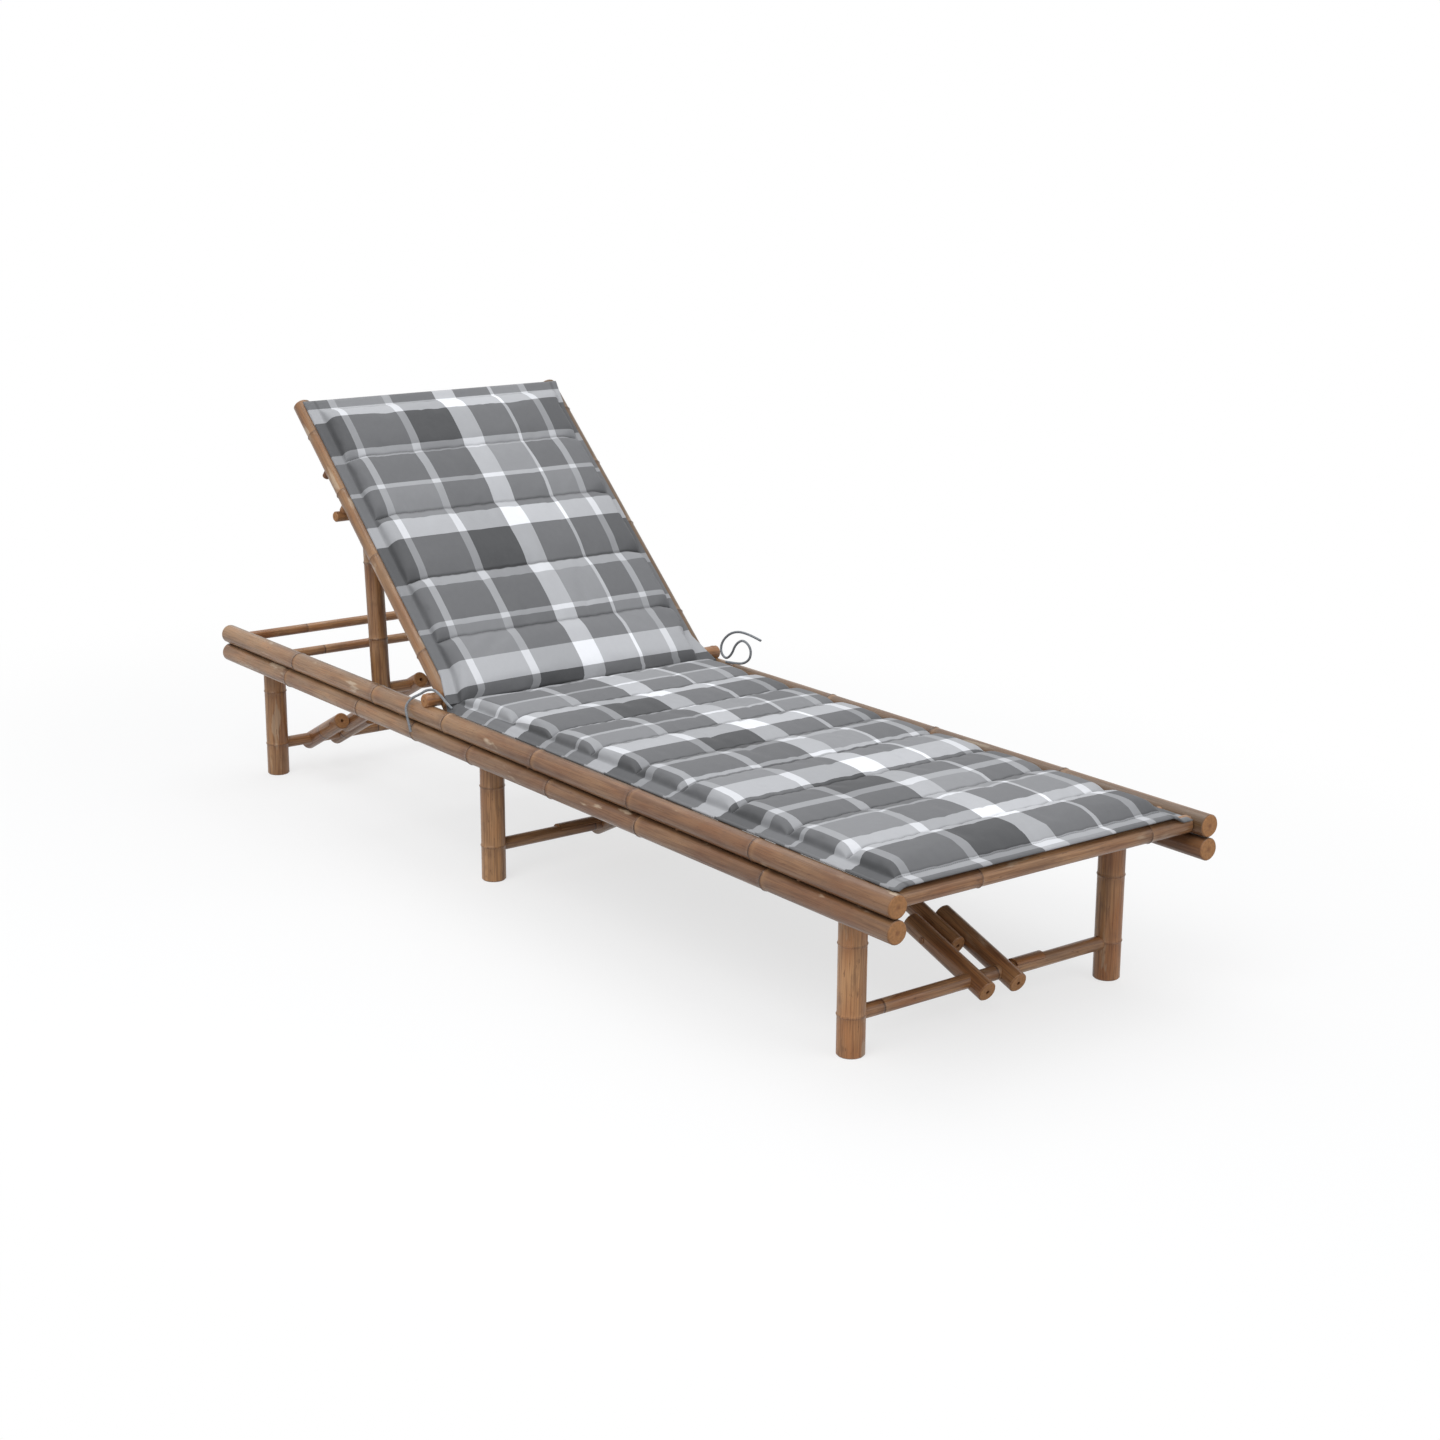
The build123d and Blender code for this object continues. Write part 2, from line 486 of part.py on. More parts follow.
# Pad: the seat half lies on the rails and rungs, the back half on the poles and rungs
SEAT_PAD_Z = UPPER_Z + RAIL_R + NODE_RIDGE + SIDE_GAP
SEAT_BELLY = RAIL_R + NODE_RIDGE - RUNG_DIA / 2
seat_pad = pad(SEAT_PAD_FRONT - SEAT_PAD_REAR, SEAT_PAD_WIDTH, SEAT_CHANNELS, SEAT_BELLY)
save("seat_cushion", Pos(SEAT_PAD_REAR, 0, SEAT_PAD_Z) * seat_pad)
BACK_LIFT = BACK_POLE_DIA / 2 + NODE_RIDGE + SIDE_GAP
BACK_BELLY = BACK_POLE_DIA / 2 + NODE_RIDGE - BACK_RUNG_DIA / 2
back_pad = pad(BACK_PAD_END - BACK_PAD_START, BACK_PAD_WIDTH, BACK_CHANNELS, BACK_BELLY)
back_corner = back_point(BACK_PAD_START, -BACK_LIFT, BACK_PAD_SHIFT)
back_place = Plane(origin=back_corner, x_dir=BACK_UP, z_dir=-BACK_REAR)
save("back_cushion", back_place.location * back_pad)


def cord(points, side, name):
    """Tie cord along its points on one side, with each bend as wide as its runs allow."""
    hem_edge = SEAT_PAD_WIDTH / 2
    stops = [Vector(HINGE_X + ahead, side * (hem_edge + out), UPPER_Z + up) for ahead, out, up in points]
    radii = []
    for before, here, after in zip(stops, stops[1:], stops[2:]):
        turn = math.radians((here - before).get_angle(after - here))
        shorter = min((here - before).length, (after - here).length)
        radii.append(0.45 * shorter / math.tan(turn / 2))
    print(name, "bend radii", [round(radius, 1) for radius in radii])
    path = FilletPolyline(*stops, radius=radii)
    start = Plane(origin=path @ 0, z_dir=path % 0)
    return sweep(start * Circle(TIE_DIA / 2), path=path)


save("left_tie", cord(LEFT_TIE, 1, "left_tie"))
save("right_tie", cord(RIGHT_TIE, -1, "right_tie"))
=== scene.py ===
"""Dresses the bamboo chaise longue: cane finishes, the plaid pad with its ties, floor, light and camera."""

import logging
import math
import random
from dataclasses import dataclass, field
from enum import Enum
from typing import Any, Optional, Sequence, Union

import bpy
import numpy as np
from mathutils import Euler, Matrix, Vector, noise


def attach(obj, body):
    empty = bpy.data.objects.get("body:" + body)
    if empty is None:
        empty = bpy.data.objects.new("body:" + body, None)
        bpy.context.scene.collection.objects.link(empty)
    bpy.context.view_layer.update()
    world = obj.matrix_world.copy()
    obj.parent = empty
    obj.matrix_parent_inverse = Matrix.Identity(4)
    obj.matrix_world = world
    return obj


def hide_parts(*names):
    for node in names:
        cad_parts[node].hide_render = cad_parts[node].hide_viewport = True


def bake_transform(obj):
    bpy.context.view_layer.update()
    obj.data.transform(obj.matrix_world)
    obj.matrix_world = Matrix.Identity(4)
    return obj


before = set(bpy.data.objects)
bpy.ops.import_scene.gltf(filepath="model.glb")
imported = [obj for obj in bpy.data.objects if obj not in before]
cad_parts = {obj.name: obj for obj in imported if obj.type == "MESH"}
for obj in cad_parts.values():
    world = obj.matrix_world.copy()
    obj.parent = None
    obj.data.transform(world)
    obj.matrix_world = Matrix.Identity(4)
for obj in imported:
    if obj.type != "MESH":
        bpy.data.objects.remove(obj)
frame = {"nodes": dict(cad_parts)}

LOG = logging.getLogger("lounger")
MM = 0.001

# Places of the frame, in metres
HINGE = (-0.227, 0.29875)
BACK_ANGLE = math.radians(42.0)
BACK_UP = (-math.cos(BACK_ANGLE), math.sin(BACK_ANGLE))
BACK_FRONT = (math.sin(BACK_ANGLE), math.cos(BACK_ANGLE))
RAIL_AXIS_Z = 0.27225
HEM_EDGE_Y = 0.290
SAME_PLACE = 1e-6

# Levels between which most of a noise lies
NOISE_SPAN = (0.3, 0.7)
# Numbers of a Mix node's sockets for colours
MIX_SHARE, MIX_FIRST, MIX_SECOND, MIX_COLOUR = 0, 6, 7, 2


def linear(level: int) -> float:
    """Linear share of one channel from 0 to 255, by the curve of a screen."""
    share = level / 255
    return share / 12.92 if share <= 0.04045 else ((share + 0.055) / 1.055) ** 2.4


def tint(red: int, green: int, blue: int) -> tuple[float, float, float, float]:
    """Colour as seen on screen, as the linear colour that a shader takes."""
    return (linear(red), linear(green), linear(blue), 1.0)


def grey(level: float) -> tuple[float, float, float, float]:
    """Grey of a linear level."""
    return (level, level, level, 1.0)


class Value:
    """One output socket, with operators that add Math nodes."""

    def __init__(self, graph: "Graph", socket: Optional[bpy.types.NodeSocket]) -> None:
        """Keep the socket and the graph that it belongs to."""
        self.graph = graph
        self.socket = socket

    def _math(self, operation: str, *terms: Any) -> "Value":
        """Add one Math node on the given terms."""
        return self.graph.node("ShaderNodeMath", {"operation": operation}, dict(enumerate(terms)))

    def __add__(self, other: Any) -> "Value":
        """Sum."""
        return self._math("ADD", self, other)

    __radd__ = __add__

    def __mul__(self, other: Any) -> "Value":
        """Product."""
        return self._math("MULTIPLY", self, other)

    __rmul__ = __mul__

    def __sub__(self, other: Any) -> "Value":
        """Difference."""
        return self._math("SUBTRACT", self, other)

    def __rsub__(self, other: Any) -> "Value":
        """Difference from a number."""
        return self._math("SUBTRACT", other, self)

    def __truediv__(self, other: Any) -> "Value":
        """Quotient."""
        return self._math("DIVIDE", self, other)

    def __rtruediv__(self, other: Any) -> "Value":
        """Quotient of a number by this."""
        return self._math("DIVIDE", other, self)

    def __pow__(self, other: Any) -> "Value":
        """Power."""
        return self._math("POWER", self, other)

    def __rpow__(self, other: Any) -> "Value":
        """Power of a number."""
        return self._math("POWER", other, self)

    def __abs__(self) -> "Value":
        """Size without its sign."""
        return self._math("ABSOLUTE", self)

    def least(self, other: Any) -> "Value":
        """Smaller of two values."""
        return self._math("MINIMUM", self, other)

    def most(self, other: Any) -> "Value":
        """Larger of two values."""
        return self._math("MAXIMUM", self, other)

    def fraction(self) -> "Value":
        """Part after the decimal point."""
        return self._math("FRACT", self)

    def fade(self, start: float, end: float, low: float = 0.0, high: float = 1.0) -> "Value":
        """Smooth step from low at start to high at end."""
        return self.graph.node("ShaderNodeMapRange", {"interpolation_type": "SMOOTHSTEP"},
                               {"Value": self, "From Min": start, "From Max": end,
                                "To Min": low, "To Max": high})


class Graph:
    """Node tree of one material, or of the world."""

    def __init__(self, owner: Union[bpy.types.Material, bpy.types.World]) -> None:
        """Take over the owner's node tree and empty it.

        Args:
            owner: The material or the world.
        """
        self.owner = owner
        owner.use_nodes = True
        self.tree = owner.node_tree
        self.tree.nodes.clear()

    @classmethod
    def for_material(cls, name: str) -> "Graph":
        """Graph of a new material."""
        return cls(bpy.data.materials.new(name))

    def node(self, kind: str, settings: dict[str, Any], inputs: dict[Any, Any],
             output: Union[int, str] = 0) -> Value:
        """Add one node.

        Args:
            kind: Blender's type of node.
            settings: The node's own properties, set first; "stops" fills a colour ramp.
            inputs: Values or links by socket name or number.
            output: The socket that is returned.

        Returns:
            The chosen output.
        """
        made = self.tree.nodes.new(kind)
        for key, setting in settings.items():
            if key == "stops":
                self._fill_ramp(made.color_ramp, setting)
            elif key == "interpolation":
                made.color_ramp.interpolation = setting
            else:
                setattr(made, key, setting)
        for key, given in inputs.items():
            socket = made.inputs[key]
            if isinstance(given, Value):
                self.tree.links.new(given.socket, socket)
            else:
                socket.default_value = given
        return Value(self, made.outputs[output]) if made.outputs else Value(self, None)

    @staticmethod
    def _fill_ramp(ramp: bpy.types.ColorRamp, stops: Sequence[tuple[float, Any]]) -> None:
        """Give a colour ramp its stops.

        Args:
            ramp: The ramp.
            stops: Place of each stop, with its colour or level.
        """
        while len(ramp.elements) > 1:
            ramp.elements.remove(ramp.elements[-1])
        for number, (place, colour) in enumerate(stops):
            stop = ramp.elements[0] if number == 0 else ramp.elements.new(place)
            stop.position = place
            stop.color = colour if isinstance(colour, tuple) else grey(colour)

    def object_place(self) -> Value:
        """Object coordinates."""
        return self.node("ShaderNodeTexCoord", {}, {}, "Object")

    def split(self, vector: Value) -> tuple[Value, Value, Value]:
        """Three parts of a vector."""
        outputs = self.node("ShaderNodeSeparateXYZ", {}, {"Vector": vector}).socket.node.outputs
        return Value(self, outputs[0]), Value(self, outputs[1]), Value(self, outputs[2])

    def join(self, x: Any, y: Any, z: Any) -> Value:
        """Vector from three parts."""
        return self.node("ShaderNodeCombineXYZ", {}, {"X": x, "Y": y, "Z": z})

    def cloud(self, place: Value, detail: float) -> Value:
        """Noise from 0 to 1 at a place."""
        return self.node("ShaderNodeTexNoise", {}, {"Vector": place, "Scale": 1.0, "Detail": detail})

    def grain(self, scales: tuple[float, float, float], detail: float) -> Value:
        """Noise over the object, with a scale to each axis."""
        x, y, z = self.split(self.object_place())
        return self.cloud(self.join(x * scales[0], y * scales[1], z * scales[2]), detail)

    def mix(self, share: Any, first: Any, second: Any) -> Value:
        """Colour between two colours."""
        return self.node("ShaderNodeMix", {"data_type": "RGBA"},
                         {MIX_SHARE: share, MIX_FIRST: first, MIX_SECOND: second}, MIX_COLOUR)

    def ramp(self, value: Value, stops: Sequence[tuple[float, Any]], interpolation: str = "LINEAR") -> Value:
        """Colour or level looked up on a ramp."""
        return self.node("ShaderNodeValToRGB", {"stops": stops, "interpolation": interpolation},
                         {"Fac": value})

    def bump(self, height: Value, strength: float, distance: float) -> Value:
        """Normal from a height."""
        return self.node("ShaderNodeBump", {}, {"Height": height, "Strength": strength, "Distance": distance})

    def surface(self, **sockets: Any) -> bpy.types.Material:
        """Finish the material with one principled shader.

        Args:
            sockets: The shader's inputs, with spaces in their names written as underscores.

        Returns:
            The finished material.
        """
        inputs = {name.replace("_", " "): given for name, given in sockets.items()}
        shader = self.node("ShaderNodeBsdfPrincipled", {}, inputs)
        self.node("ShaderNodeOutputMaterial", {}, {"Surface": shader})
        return self.owner


class Run(Enum):
    """Ways that the canes of the frame run, as the turn from +X in the upright plane or about Z."""

    LENGTHWISE = (0.0, 0.0)
    CROSSWISE = (0.0, 90.0)
    UPRIGHT = (90.0, 0.0)
    BACKREST = (138.0, 0.0)
    PROP = (93.929, 0.0)
    FRONT_BRACE = (160.608, 0.0)
    MIDDLE_BRACE = (26.696, 0.0)
    REAR_BRACE = (26.894, 0.0)

    def turn(self) -> Euler:
        """Turn that takes +X to this way."""
        rise, swing = self.value
        return Euler((0.0, -math.radians(rise), math.radians(swing)))

    def over(self) -> int:
        """Sign that makes a cane's own third axis point to its upper side."""
        return -1 if self is Run.BACKREST else 1


@dataclass(frozen=True)
class CaneShape:
    """Place, size and markings of one cane.

    Attributes:
        run: The way that it runs.
        centre: Its middle.
        half: Half its length.
        radius: Its radius between the rings.
        rings: Places of its node rings, from its middle.
        seed: Shift of its noise, so that no two canes look alike.
        age: How far it has gone grey, from 0 to 1.
        darkness: Share of the dark colour in its skin; on a rail it also sets the painted shade toward its
            foot end.
        ring_depth: How strongly its rings show.
        shaded_side: Sign of the side that takes painted shade beside the pad, or 0.
        pad_shade_from: Where the painted shade beside the pad starts, in radii toward that side.
        partner: Sign of the side where a rail's twin lies: 1 above it, -1 below.
    """

    run: Run
    centre: Vector
    half: float
    radius: float
    rings: tuple
    seed: float
    age: float
    darkness: float
    ring_depth: float
    shaded_side: int
    pad_shade_from: float
    partner: int


@dataclass(frozen=True)
class CanePlace:
    """Where a point lies on its cane: along, across, over the axis, and along with the cane's own shift."""

    along: Value
    side: Value
    up: Value
    shifted: Value


@dataclass(frozen=True)
class SkinNoise:
    """Noise drawn out along a cane: its scales, its detail and the levels that its marks fade between."""

    lengthwise: float
    around: float
    detail: float
    start: float
    end: float

    def over(self, graph: Graph, place: CanePlace) -> Value:
        """Noise at a place on the cane."""
        spot = graph.join(place.shifted * self.lengthwise, place.side * self.around, place.up * self.around)
        return graph.cloud(spot, self.detail)

    def marks(self, level: Value) -> Value:
        """How strongly a mark shows where the noise has this level."""
        return level.fade(self.start, self.end)


@dataclass(frozen=True)
class CaneFinish:
    """Lacquered bamboo cane: its colours, the noise of its markings and how strongly they show."""

    skin: tuple = tint(172, 114, 68)
    pale: tuple = tint(204, 154, 106)
    dark: tuple = tint(84, 50, 29)
    weathered: tuple = tint(152, 121, 91)
    bare: tuple = tint(198, 176, 150)
    ring: tuple = tint(58, 35, 21)
    ring_band: tuple = tint(182, 140, 100)
    # Colour of the painted shade beside the pad
    pad_shade_colour: tuple = tint(76, 63, 45)
    cut: tuple = tint(172, 122, 76)
    pith: tuple = tint(120, 76, 44)
    tones: SkinNoise = SkinNoise(6.0, 14.0, 2.0, 0.34, 0.66)
    streaks: SkinNoise = SkinNoise(5.0, 95.0, 4.0, 0.46, 0.63)
    fibres: SkinNoise = SkinNoise(13.0, 420.0, 3.0, 0.46, 0.62)
    blotches: SkinNoise = SkinNoise(24.0, 55.0, 4.0, 0.55, 0.72)
    worn_spots: SkinNoise = SkinNoise(11.0, 46.0, 5.0, 0.62, 0.70)
    flecks: SkinNoise = SkinNoise(70.0, 330.0, 2.0, 0.66, 0.74)
    # Share of a mark, and what the cane's darkness or age adds to it
    streak_share: tuple = (0.32, 0.4)
    fibre_share: tuple = (0.42, 0.2)
    worn_share: tuple = (0.25, 0.75)
    blotch_share: float = 0.42
    fleck_share: float = 0.55
    grey_patches: tuple = (0.30, 0.62)
    # Along the rails, in metres from their middle: where a change starts and ends, and the shares there
    rail_greying: tuple = (0.25, -0.30, 0.35, 1.0)
    # Painted shade that darkens the rails toward their foot end
    rail_foot_shade: tuple = (-0.45, 0.10, 0.3, 1.0)
    # Painted shade in the gap between the two rails of a side, and painted shade beside the pad, with places
    # in radii
    between_rails_shade: tuple = (0.80, 0.97)
    between_rails_shade_share: float = 0.75
    pad_shade_tilt: float = 0.7
    pad_shade_width: float = 0.9
    pad_shade_share: float = 0.62
    # Tone beside a node ring: metres from it, and a level, where 0.5 is the skin's own
    ring_tones: tuple = ((-0.024, 0.5), (-0.0012, 0.12), (0.0012, 1.0), (0.021, 0.5))
    skin_tone: float = 0.5
    ring_wander: float = 0.003
    band_levels: tuple = (0.6, 1.0)
    band_share: float = 0.4
    shade_levels: tuple = (0.5, 0.1)
    shade_share: float = 0.5
    ring_line: tuple = (0.0006, 0.0026)
    ring_breaks: tuple = (0.30, 0.58, 0.42, 1.0)
    ridge_width: float = 0.009
    # Shares of the bump's height, then the bump's strength and depth
    fibre_height: float = 0.4
    streak_height: float = 0.6
    ridge_height: float = 1.6
    line_depth: float = 1.2
    bump: tuple = (0.5, 0.0009)
    roughness: tuple = (0.25, 0.48)
    # Sawn ends: metres from the end, then places in radii
    saw_cut: tuple = (-0.0019, -0.0006)
    cut_roughness: float = 0.3
    cut_grain: tuple = (260.0, 3.0)
    cut_levels: tuple = (0.35, 0.7)
    cut_share: float = 0.3
    pith_edge: tuple = (0.05, 0.35)
    pith_share: float = 0.7
    rim_edge: float = 0.84
    rim_share: float = 0.5

    def material(self, name: str, cane: CaneShape) -> bpy.types.Material:
        """Finish of one cane.

        Args:
            name: Name of the material.
            cane: The cane that it is for.

        Returns:
            The material.
        """
        graph = Graph.for_material(name)
        local = graph.node("ShaderNodeMapping", {"vector_type": "TEXTURE"},
                           {"Vector": graph.object_place(), "Location": cane.centre,
                            "Rotation": cane.run.turn()})
        along, side, up = graph.split(local)
        place = CanePlace(along, side, up, along + cane.seed)
        fibre = self.fibres.over(graph, place)
        streak = self.streaks.over(graph, place)
        blotch = self.blotches.over(graph, place)
        colour = graph.mix(self.tones.marks(self.tones.over(graph, place)), self.skin, self.pale)
        streak_share = self._share(self.streak_share, cane.darkness)
        fibre_share = self._share(self.fibre_share, cane.darkness)
        colour = graph.mix(self.streaks.marks(streak) * streak_share, colour, self.dark)
        colour = graph.mix(self.fibres.marks(fibre) * fibre_share, colour, self.dark)
        colour = graph.mix(self.blotches.marks(blotch) * self.blotch_share, colour, self.dark)
        colour = self._weather(graph, colour, cane, place, blotch)
        height = fibre * self.fibre_height + streak * self.streak_height
        if cane.rings:
            colour, height = self._ring_marks(graph, colour, height, cane, along, streak, blotch)
        at_end = (abs(along) - cane.half).fade(*self.saw_cut)
        colour = graph.mix(at_end, colour, self._end_cut(graph, cane, side, up))
        rough = fibre.fade(*NOISE_SPAN, *self.roughness) + at_end * self.cut_roughness
        return graph.surface(Base_Color=colour, Roughness=rough, Specular_IOR_Level=0.5,
                             Normal=graph.bump(height, *self.bump))

    @staticmethod
    def _share(shares: tuple[float, float], amount: float) -> float:
        """Share of a mark on a cane with this amount of darkness or age."""
        return shares[0] + shares[1] * amount

    def _weather(self, graph: Graph, colour: Value, cane: CaneShape, place: CanePlace,
                 blotch: Value) -> Value:
        """Grey upper sides, worn patches, and painted shade: toward the rails' foot end, between the rails
        and beside the pad.

        Args:
            graph: Graph of the finish.
            colour: Colour so far.
            cane: The cane.
            place: Place on it.
            blotch: Noise of its patches.

        Returns:
            The colour with its wear and its painted shade.
        """
        over = place.up * cane.run.over()
        upper_side = over.fade(-cane.radius, cane.radius)
        greying = (blotch.fade(*self.grey_patches) * 0.5 + upper_side * 0.5) * cane.age
        if cane.run is Run.LENGTHWISE:
            greying = greying * place.along.fade(*self.rail_greying)
            # Painted shade toward the rails' foot end
            colour = graph.mix(place.along.fade(*self.rail_foot_shade) * cane.darkness, colour, self.dark)
            # Painted shade in the gap between a side's two rails, in the dark ring colour
            start, end = self.between_rails_shade
            between = (over * cane.partner).fade(start * cane.radius, end * cane.radius)
            colour = graph.mix(between * self.between_rails_shade_share, colour, self.ring)
        else:
            colour = graph.mix(cane.darkness, colour, self.dark)
        colour = graph.mix(greying, colour, self.weathered)
        worn = self.worn_spots.marks(self.worn_spots.over(graph, place))
        colour = graph.mix(worn * self._share(self.worn_share, cane.age), colour, self.bare)
        fleck = self.flecks.marks(self.flecks.over(graph, place))
        colour = graph.mix(fleck * self.fleck_share, colour, self.dark)
        # Painted shade on the side toward the pad, going all round on the far backrest pole
        if cane.shaded_side:
            inner = place.side * cane.shaded_side + over * self.pad_shade_tilt
            pad_shade_to = cane.pad_shade_from + self.pad_shade_width
            pad_shade = inner.fade(cane.pad_shade_from * cane.radius, pad_shade_to * cane.radius)
            colour = graph.mix(pad_shade * self.pad_shade_share, colour, self.pad_shade_colour)
        return colour

    def _ring_marks(self, graph: Graph, colour: Value, height: Value, cane: CaneShape, along: Value,
                    streak: Value, blotch: Value) -> tuple[Value, Value]:
        """Node rings: a ridge with an uneven dark line and a pale band beyond it.

        Args:
            graph: Graph of the finish.
            colour: Colour so far.
            height: Height so far.
            cane: The cane.
            along: Place along the cane.
            streak: Noise of its long streaks.
            blotch: Noise of its patches.

        Returns:
            The colour and the height with the rings.
        """
        length = 2 * cane.half
        spot = along + (streak - 0.5) * self.ring_wander
        stops = [(0.0, self.skin_tone)]
        for ring in cane.rings:
            stops += [((ring + step + cane.half) / length, level) for step, level in self.ring_tones]
        inside = [stop for stop in stops if 0.0 <= stop[0] <= 1.0]
        level, _, _ = graph.split(graph.ramp((spot + cane.half) / length, inside))
        band = level.fade(*self.band_levels) * (self.band_share * cane.ring_depth)
        shade = level.fade(*self.shade_levels) * (self.shade_share * cane.ring_depth)
        colour = graph.mix(shade, graph.mix(band, colour, self.ring_band), self.dark)
        nearest = abs(spot - cane.rings[0])
        for ring in cane.rings[1:]:
            nearest = nearest.least(abs(spot - ring))
        line = nearest.fade(*self.ring_line, 1.0, 0.0) * blotch.fade(*self.ring_breaks)
        ridge = nearest.fade(0.0, self.ridge_width, 1.0, 0.0)
        height = height + ridge * self.ridge_height - line * self.line_depth
        return graph.mix(line * cane.ring_depth, colour, self.ring), height

    def _end_cut(self, graph: Graph, cane: CaneShape, side: Value, up: Value) -> Value:
        """Colour of a sawn end.

        Args:
            graph: Graph of the finish.
            cane: The cane.
            side: Place across it.
            up: Place over its axis.

        Returns:
            The colour.
        """
        radial = (side * side + up * up) ** 0.5
        scale, detail = self.cut_grain
        tone = graph.cloud(graph.join(side * scale, up * scale, cane.seed), detail)
        cut = graph.mix(tone.fade(*self.cut_levels) * self.cut_share, self.cut, self.dark)
        start, end = self.pith_edge
        pith = radial.fade(start * cane.radius, end * cane.radius, self.pith_share, 0.0)
        rim = radial.fade(self.rim_edge * cane.radius, cane.radius, 0.0, self.rim_share)
        return graph.mix(rim, graph.mix(pith, cut, self.pith), self.dark)


@dataclass(frozen=True)
class PegFinish:
    """Turned pegs and pins of plain wood."""

    face: tuple = tint(158, 112, 74)
    grain: tuple = tint(110, 72, 45)
    grain_scales: tuple = (300.0, 60.0, 60.0)
    grain_detail: float = 3.0
    grain_levels: tuple = (0.38, 0.68)
    roughness: tuple = (0.5, 0.65)
    bump: tuple = (0.25, 0.0004)

    def material(self, name: str) -> bpy.types.Material:
        """Finish of the pegs.

        Args:
            name: Name of the material.

        Returns:
            The material.
        """
        graph = Graph.for_material(name)
        grain = graph.grain(self.grain_scales, self.grain_detail)
        colour = graph.mix(grain.fade(*self.grain_levels), self.face, self.grain)
        return graph.surface(Base_Color=colour, Roughness=grain.fade(*NOISE_SPAN, *self.roughness),
                             Normal=graph.bump(grain, *self.bump))


@dataclass(frozen=True)
class PlaidFinish:
    """Woven plaid: tones of the crosswise and lengthwise yarns add up where they cross."""

    ground: float = 0.490
    warmth: tuple = (0.978, 0.992, 1.030)
    twill_depth: float = 0.049
    dark_depth: float = 0.040
    # Noise of the cloth: scales along and across, layer and detail
    threads: tuple = (420.0, 1500.0, 0.0, 2.0)
    thread_depth: float = 0.035
    mottles: tuple = (26.0, 90.0, 3.0, 3.0)
    mottle_depth: float = 0.02
    # Sewing, in metres from a seam or the hem: where painted shade darkens the crease, and where the stitches
    # lie
    crease_shade_and_stitch_depth: float = 0.075
    seam_crease_shade: tuple = (0.0055, 0.0005)
    hem_crease_shade: tuple = (0.0045, 0.0005)
    hem_crease_shade_share: float = 0.7
    stitch_line: tuple = (0.0013, 0.0007)
    stitch_gaps: tuple = (0.30, 0.40)
    stitch_dent: float = 0.8
    stitches_per_metre: float = 290.0
    tone_limits: tuple = (0.25, 0.965)
    screen_gamma: float = 2.2
    roughness: tuple = (0.86, 0.96)
    bump: tuple = (0.12, 0.0004)
    # How a ramp's colour holds a tone or twill that can be negative
    ramp_middle: float = 0.5
    ramp_twill: float = 0.4
    # Crosswise yarns over one repeat, toward the head: place, lift of the tone, twill and dark share
    rows: tuple = ((0.0, 0.218, 0.0, 0.0), (0.083, 0.0, 1.0, 0.0), (0.318, 0.170, 0.0, 0.0),
                   (0.350, 0.0, -1.0, 0.0), (0.585, 0.130, 0.0, 0.0), (0.650, -0.058, 0.0, 1.0),
                   (0.917, 0.218, 0.0, 0.0))
    # Lengthwise yarns over the width, from the right edge: place in metres, lift, twill and dark share
    columns: tuple = ((-0.330, -0.045, 0.0, 0.3), (-0.2625, 0.145, 0.0, 0.0), (-0.2455, 0.0, 1.0, 0.0),
                      (-0.137, 0.145, 0.0, 0.0), (-0.119, -0.052, 0.3, 1.0), (-0.0185, 0.230, 0.3, 0.0),
                      (0.0305, 0.037, -1.0, 0.5), (0.1135, 0.235, 0.0, 0.0), (0.1225, -0.002, 1.0, 0.0),
                      (0.190, 0.145, 0.0, 0.0), (0.206, -0.035, 0.0, 0.3))
    half_span: float = 0.33

    def _yarns(self, graph: Graph, place: Value, stops: Sequence[tuple]) -> tuple[Value, Value, Value]:
        """Look up one set of yarns.

        Args:
            graph: Graph of the finish.
            place: Place across the yarns, from 0 to 1.
            stops: Where each yarn starts, with its lift, twill and dark share.

        Returns:
            Lift of the tone, twill and dark share at the place.
        """
        middle = self.ramp_middle
        colours = [(spot, (middle + lift, middle + self.ramp_twill * twill, dark, 1.0))
                   for spot, lift, twill, dark in stops]
        lift, twill, dark = graph.split(graph.ramp(place, colours, "CONSTANT"))
        return lift - middle, (twill - middle) / self.ramp_twill, dark

    def material(self, name: str, uv_name: str, sewing_name: str) -> bpy.types.Material:
        """Finish of the pad.

        Args:
            name: Name of the material.
            uv_name: The pad's map: repeats along the pad, and metres across it.
            sewing_name: The pad's second map: metres from the next seam, and from the hem.

        Returns:
            The material.
        """
        graph = Graph.for_material(name)
        place = graph.node("ShaderNodeUVMap", {"uv_map": uv_name}, {})
        repeat, across, _ = graph.split(place)
        spans = [((spot + self.half_span) / (2 * self.half_span), *rest) for spot, *rest in self.columns]
        row, row_twill, row_dark = self._yarns(graph, repeat.fraction(), self.rows)
        column, column_twill, column_dark = self._yarns(graph, across / (2 * self.half_span) + 0.5, spans)
        thread = self._cloth_noise(graph, repeat, across, self.threads)
        mottle = self._cloth_noise(graph, repeat, across, self.mottles)
        tone = row + column + self.ground
        tone = tone + row_twill * column_twill * self.twill_depth - row_dark * column_dark * self.dark_depth
        tone = tone + (thread - 0.5) * self.thread_depth + (mottle - 0.5) * self.mottle_depth
        seam_way, hem_way, _ = graph.split(graph.node("ShaderNodeUVMap", {"uv_map": sewing_name}, {}))
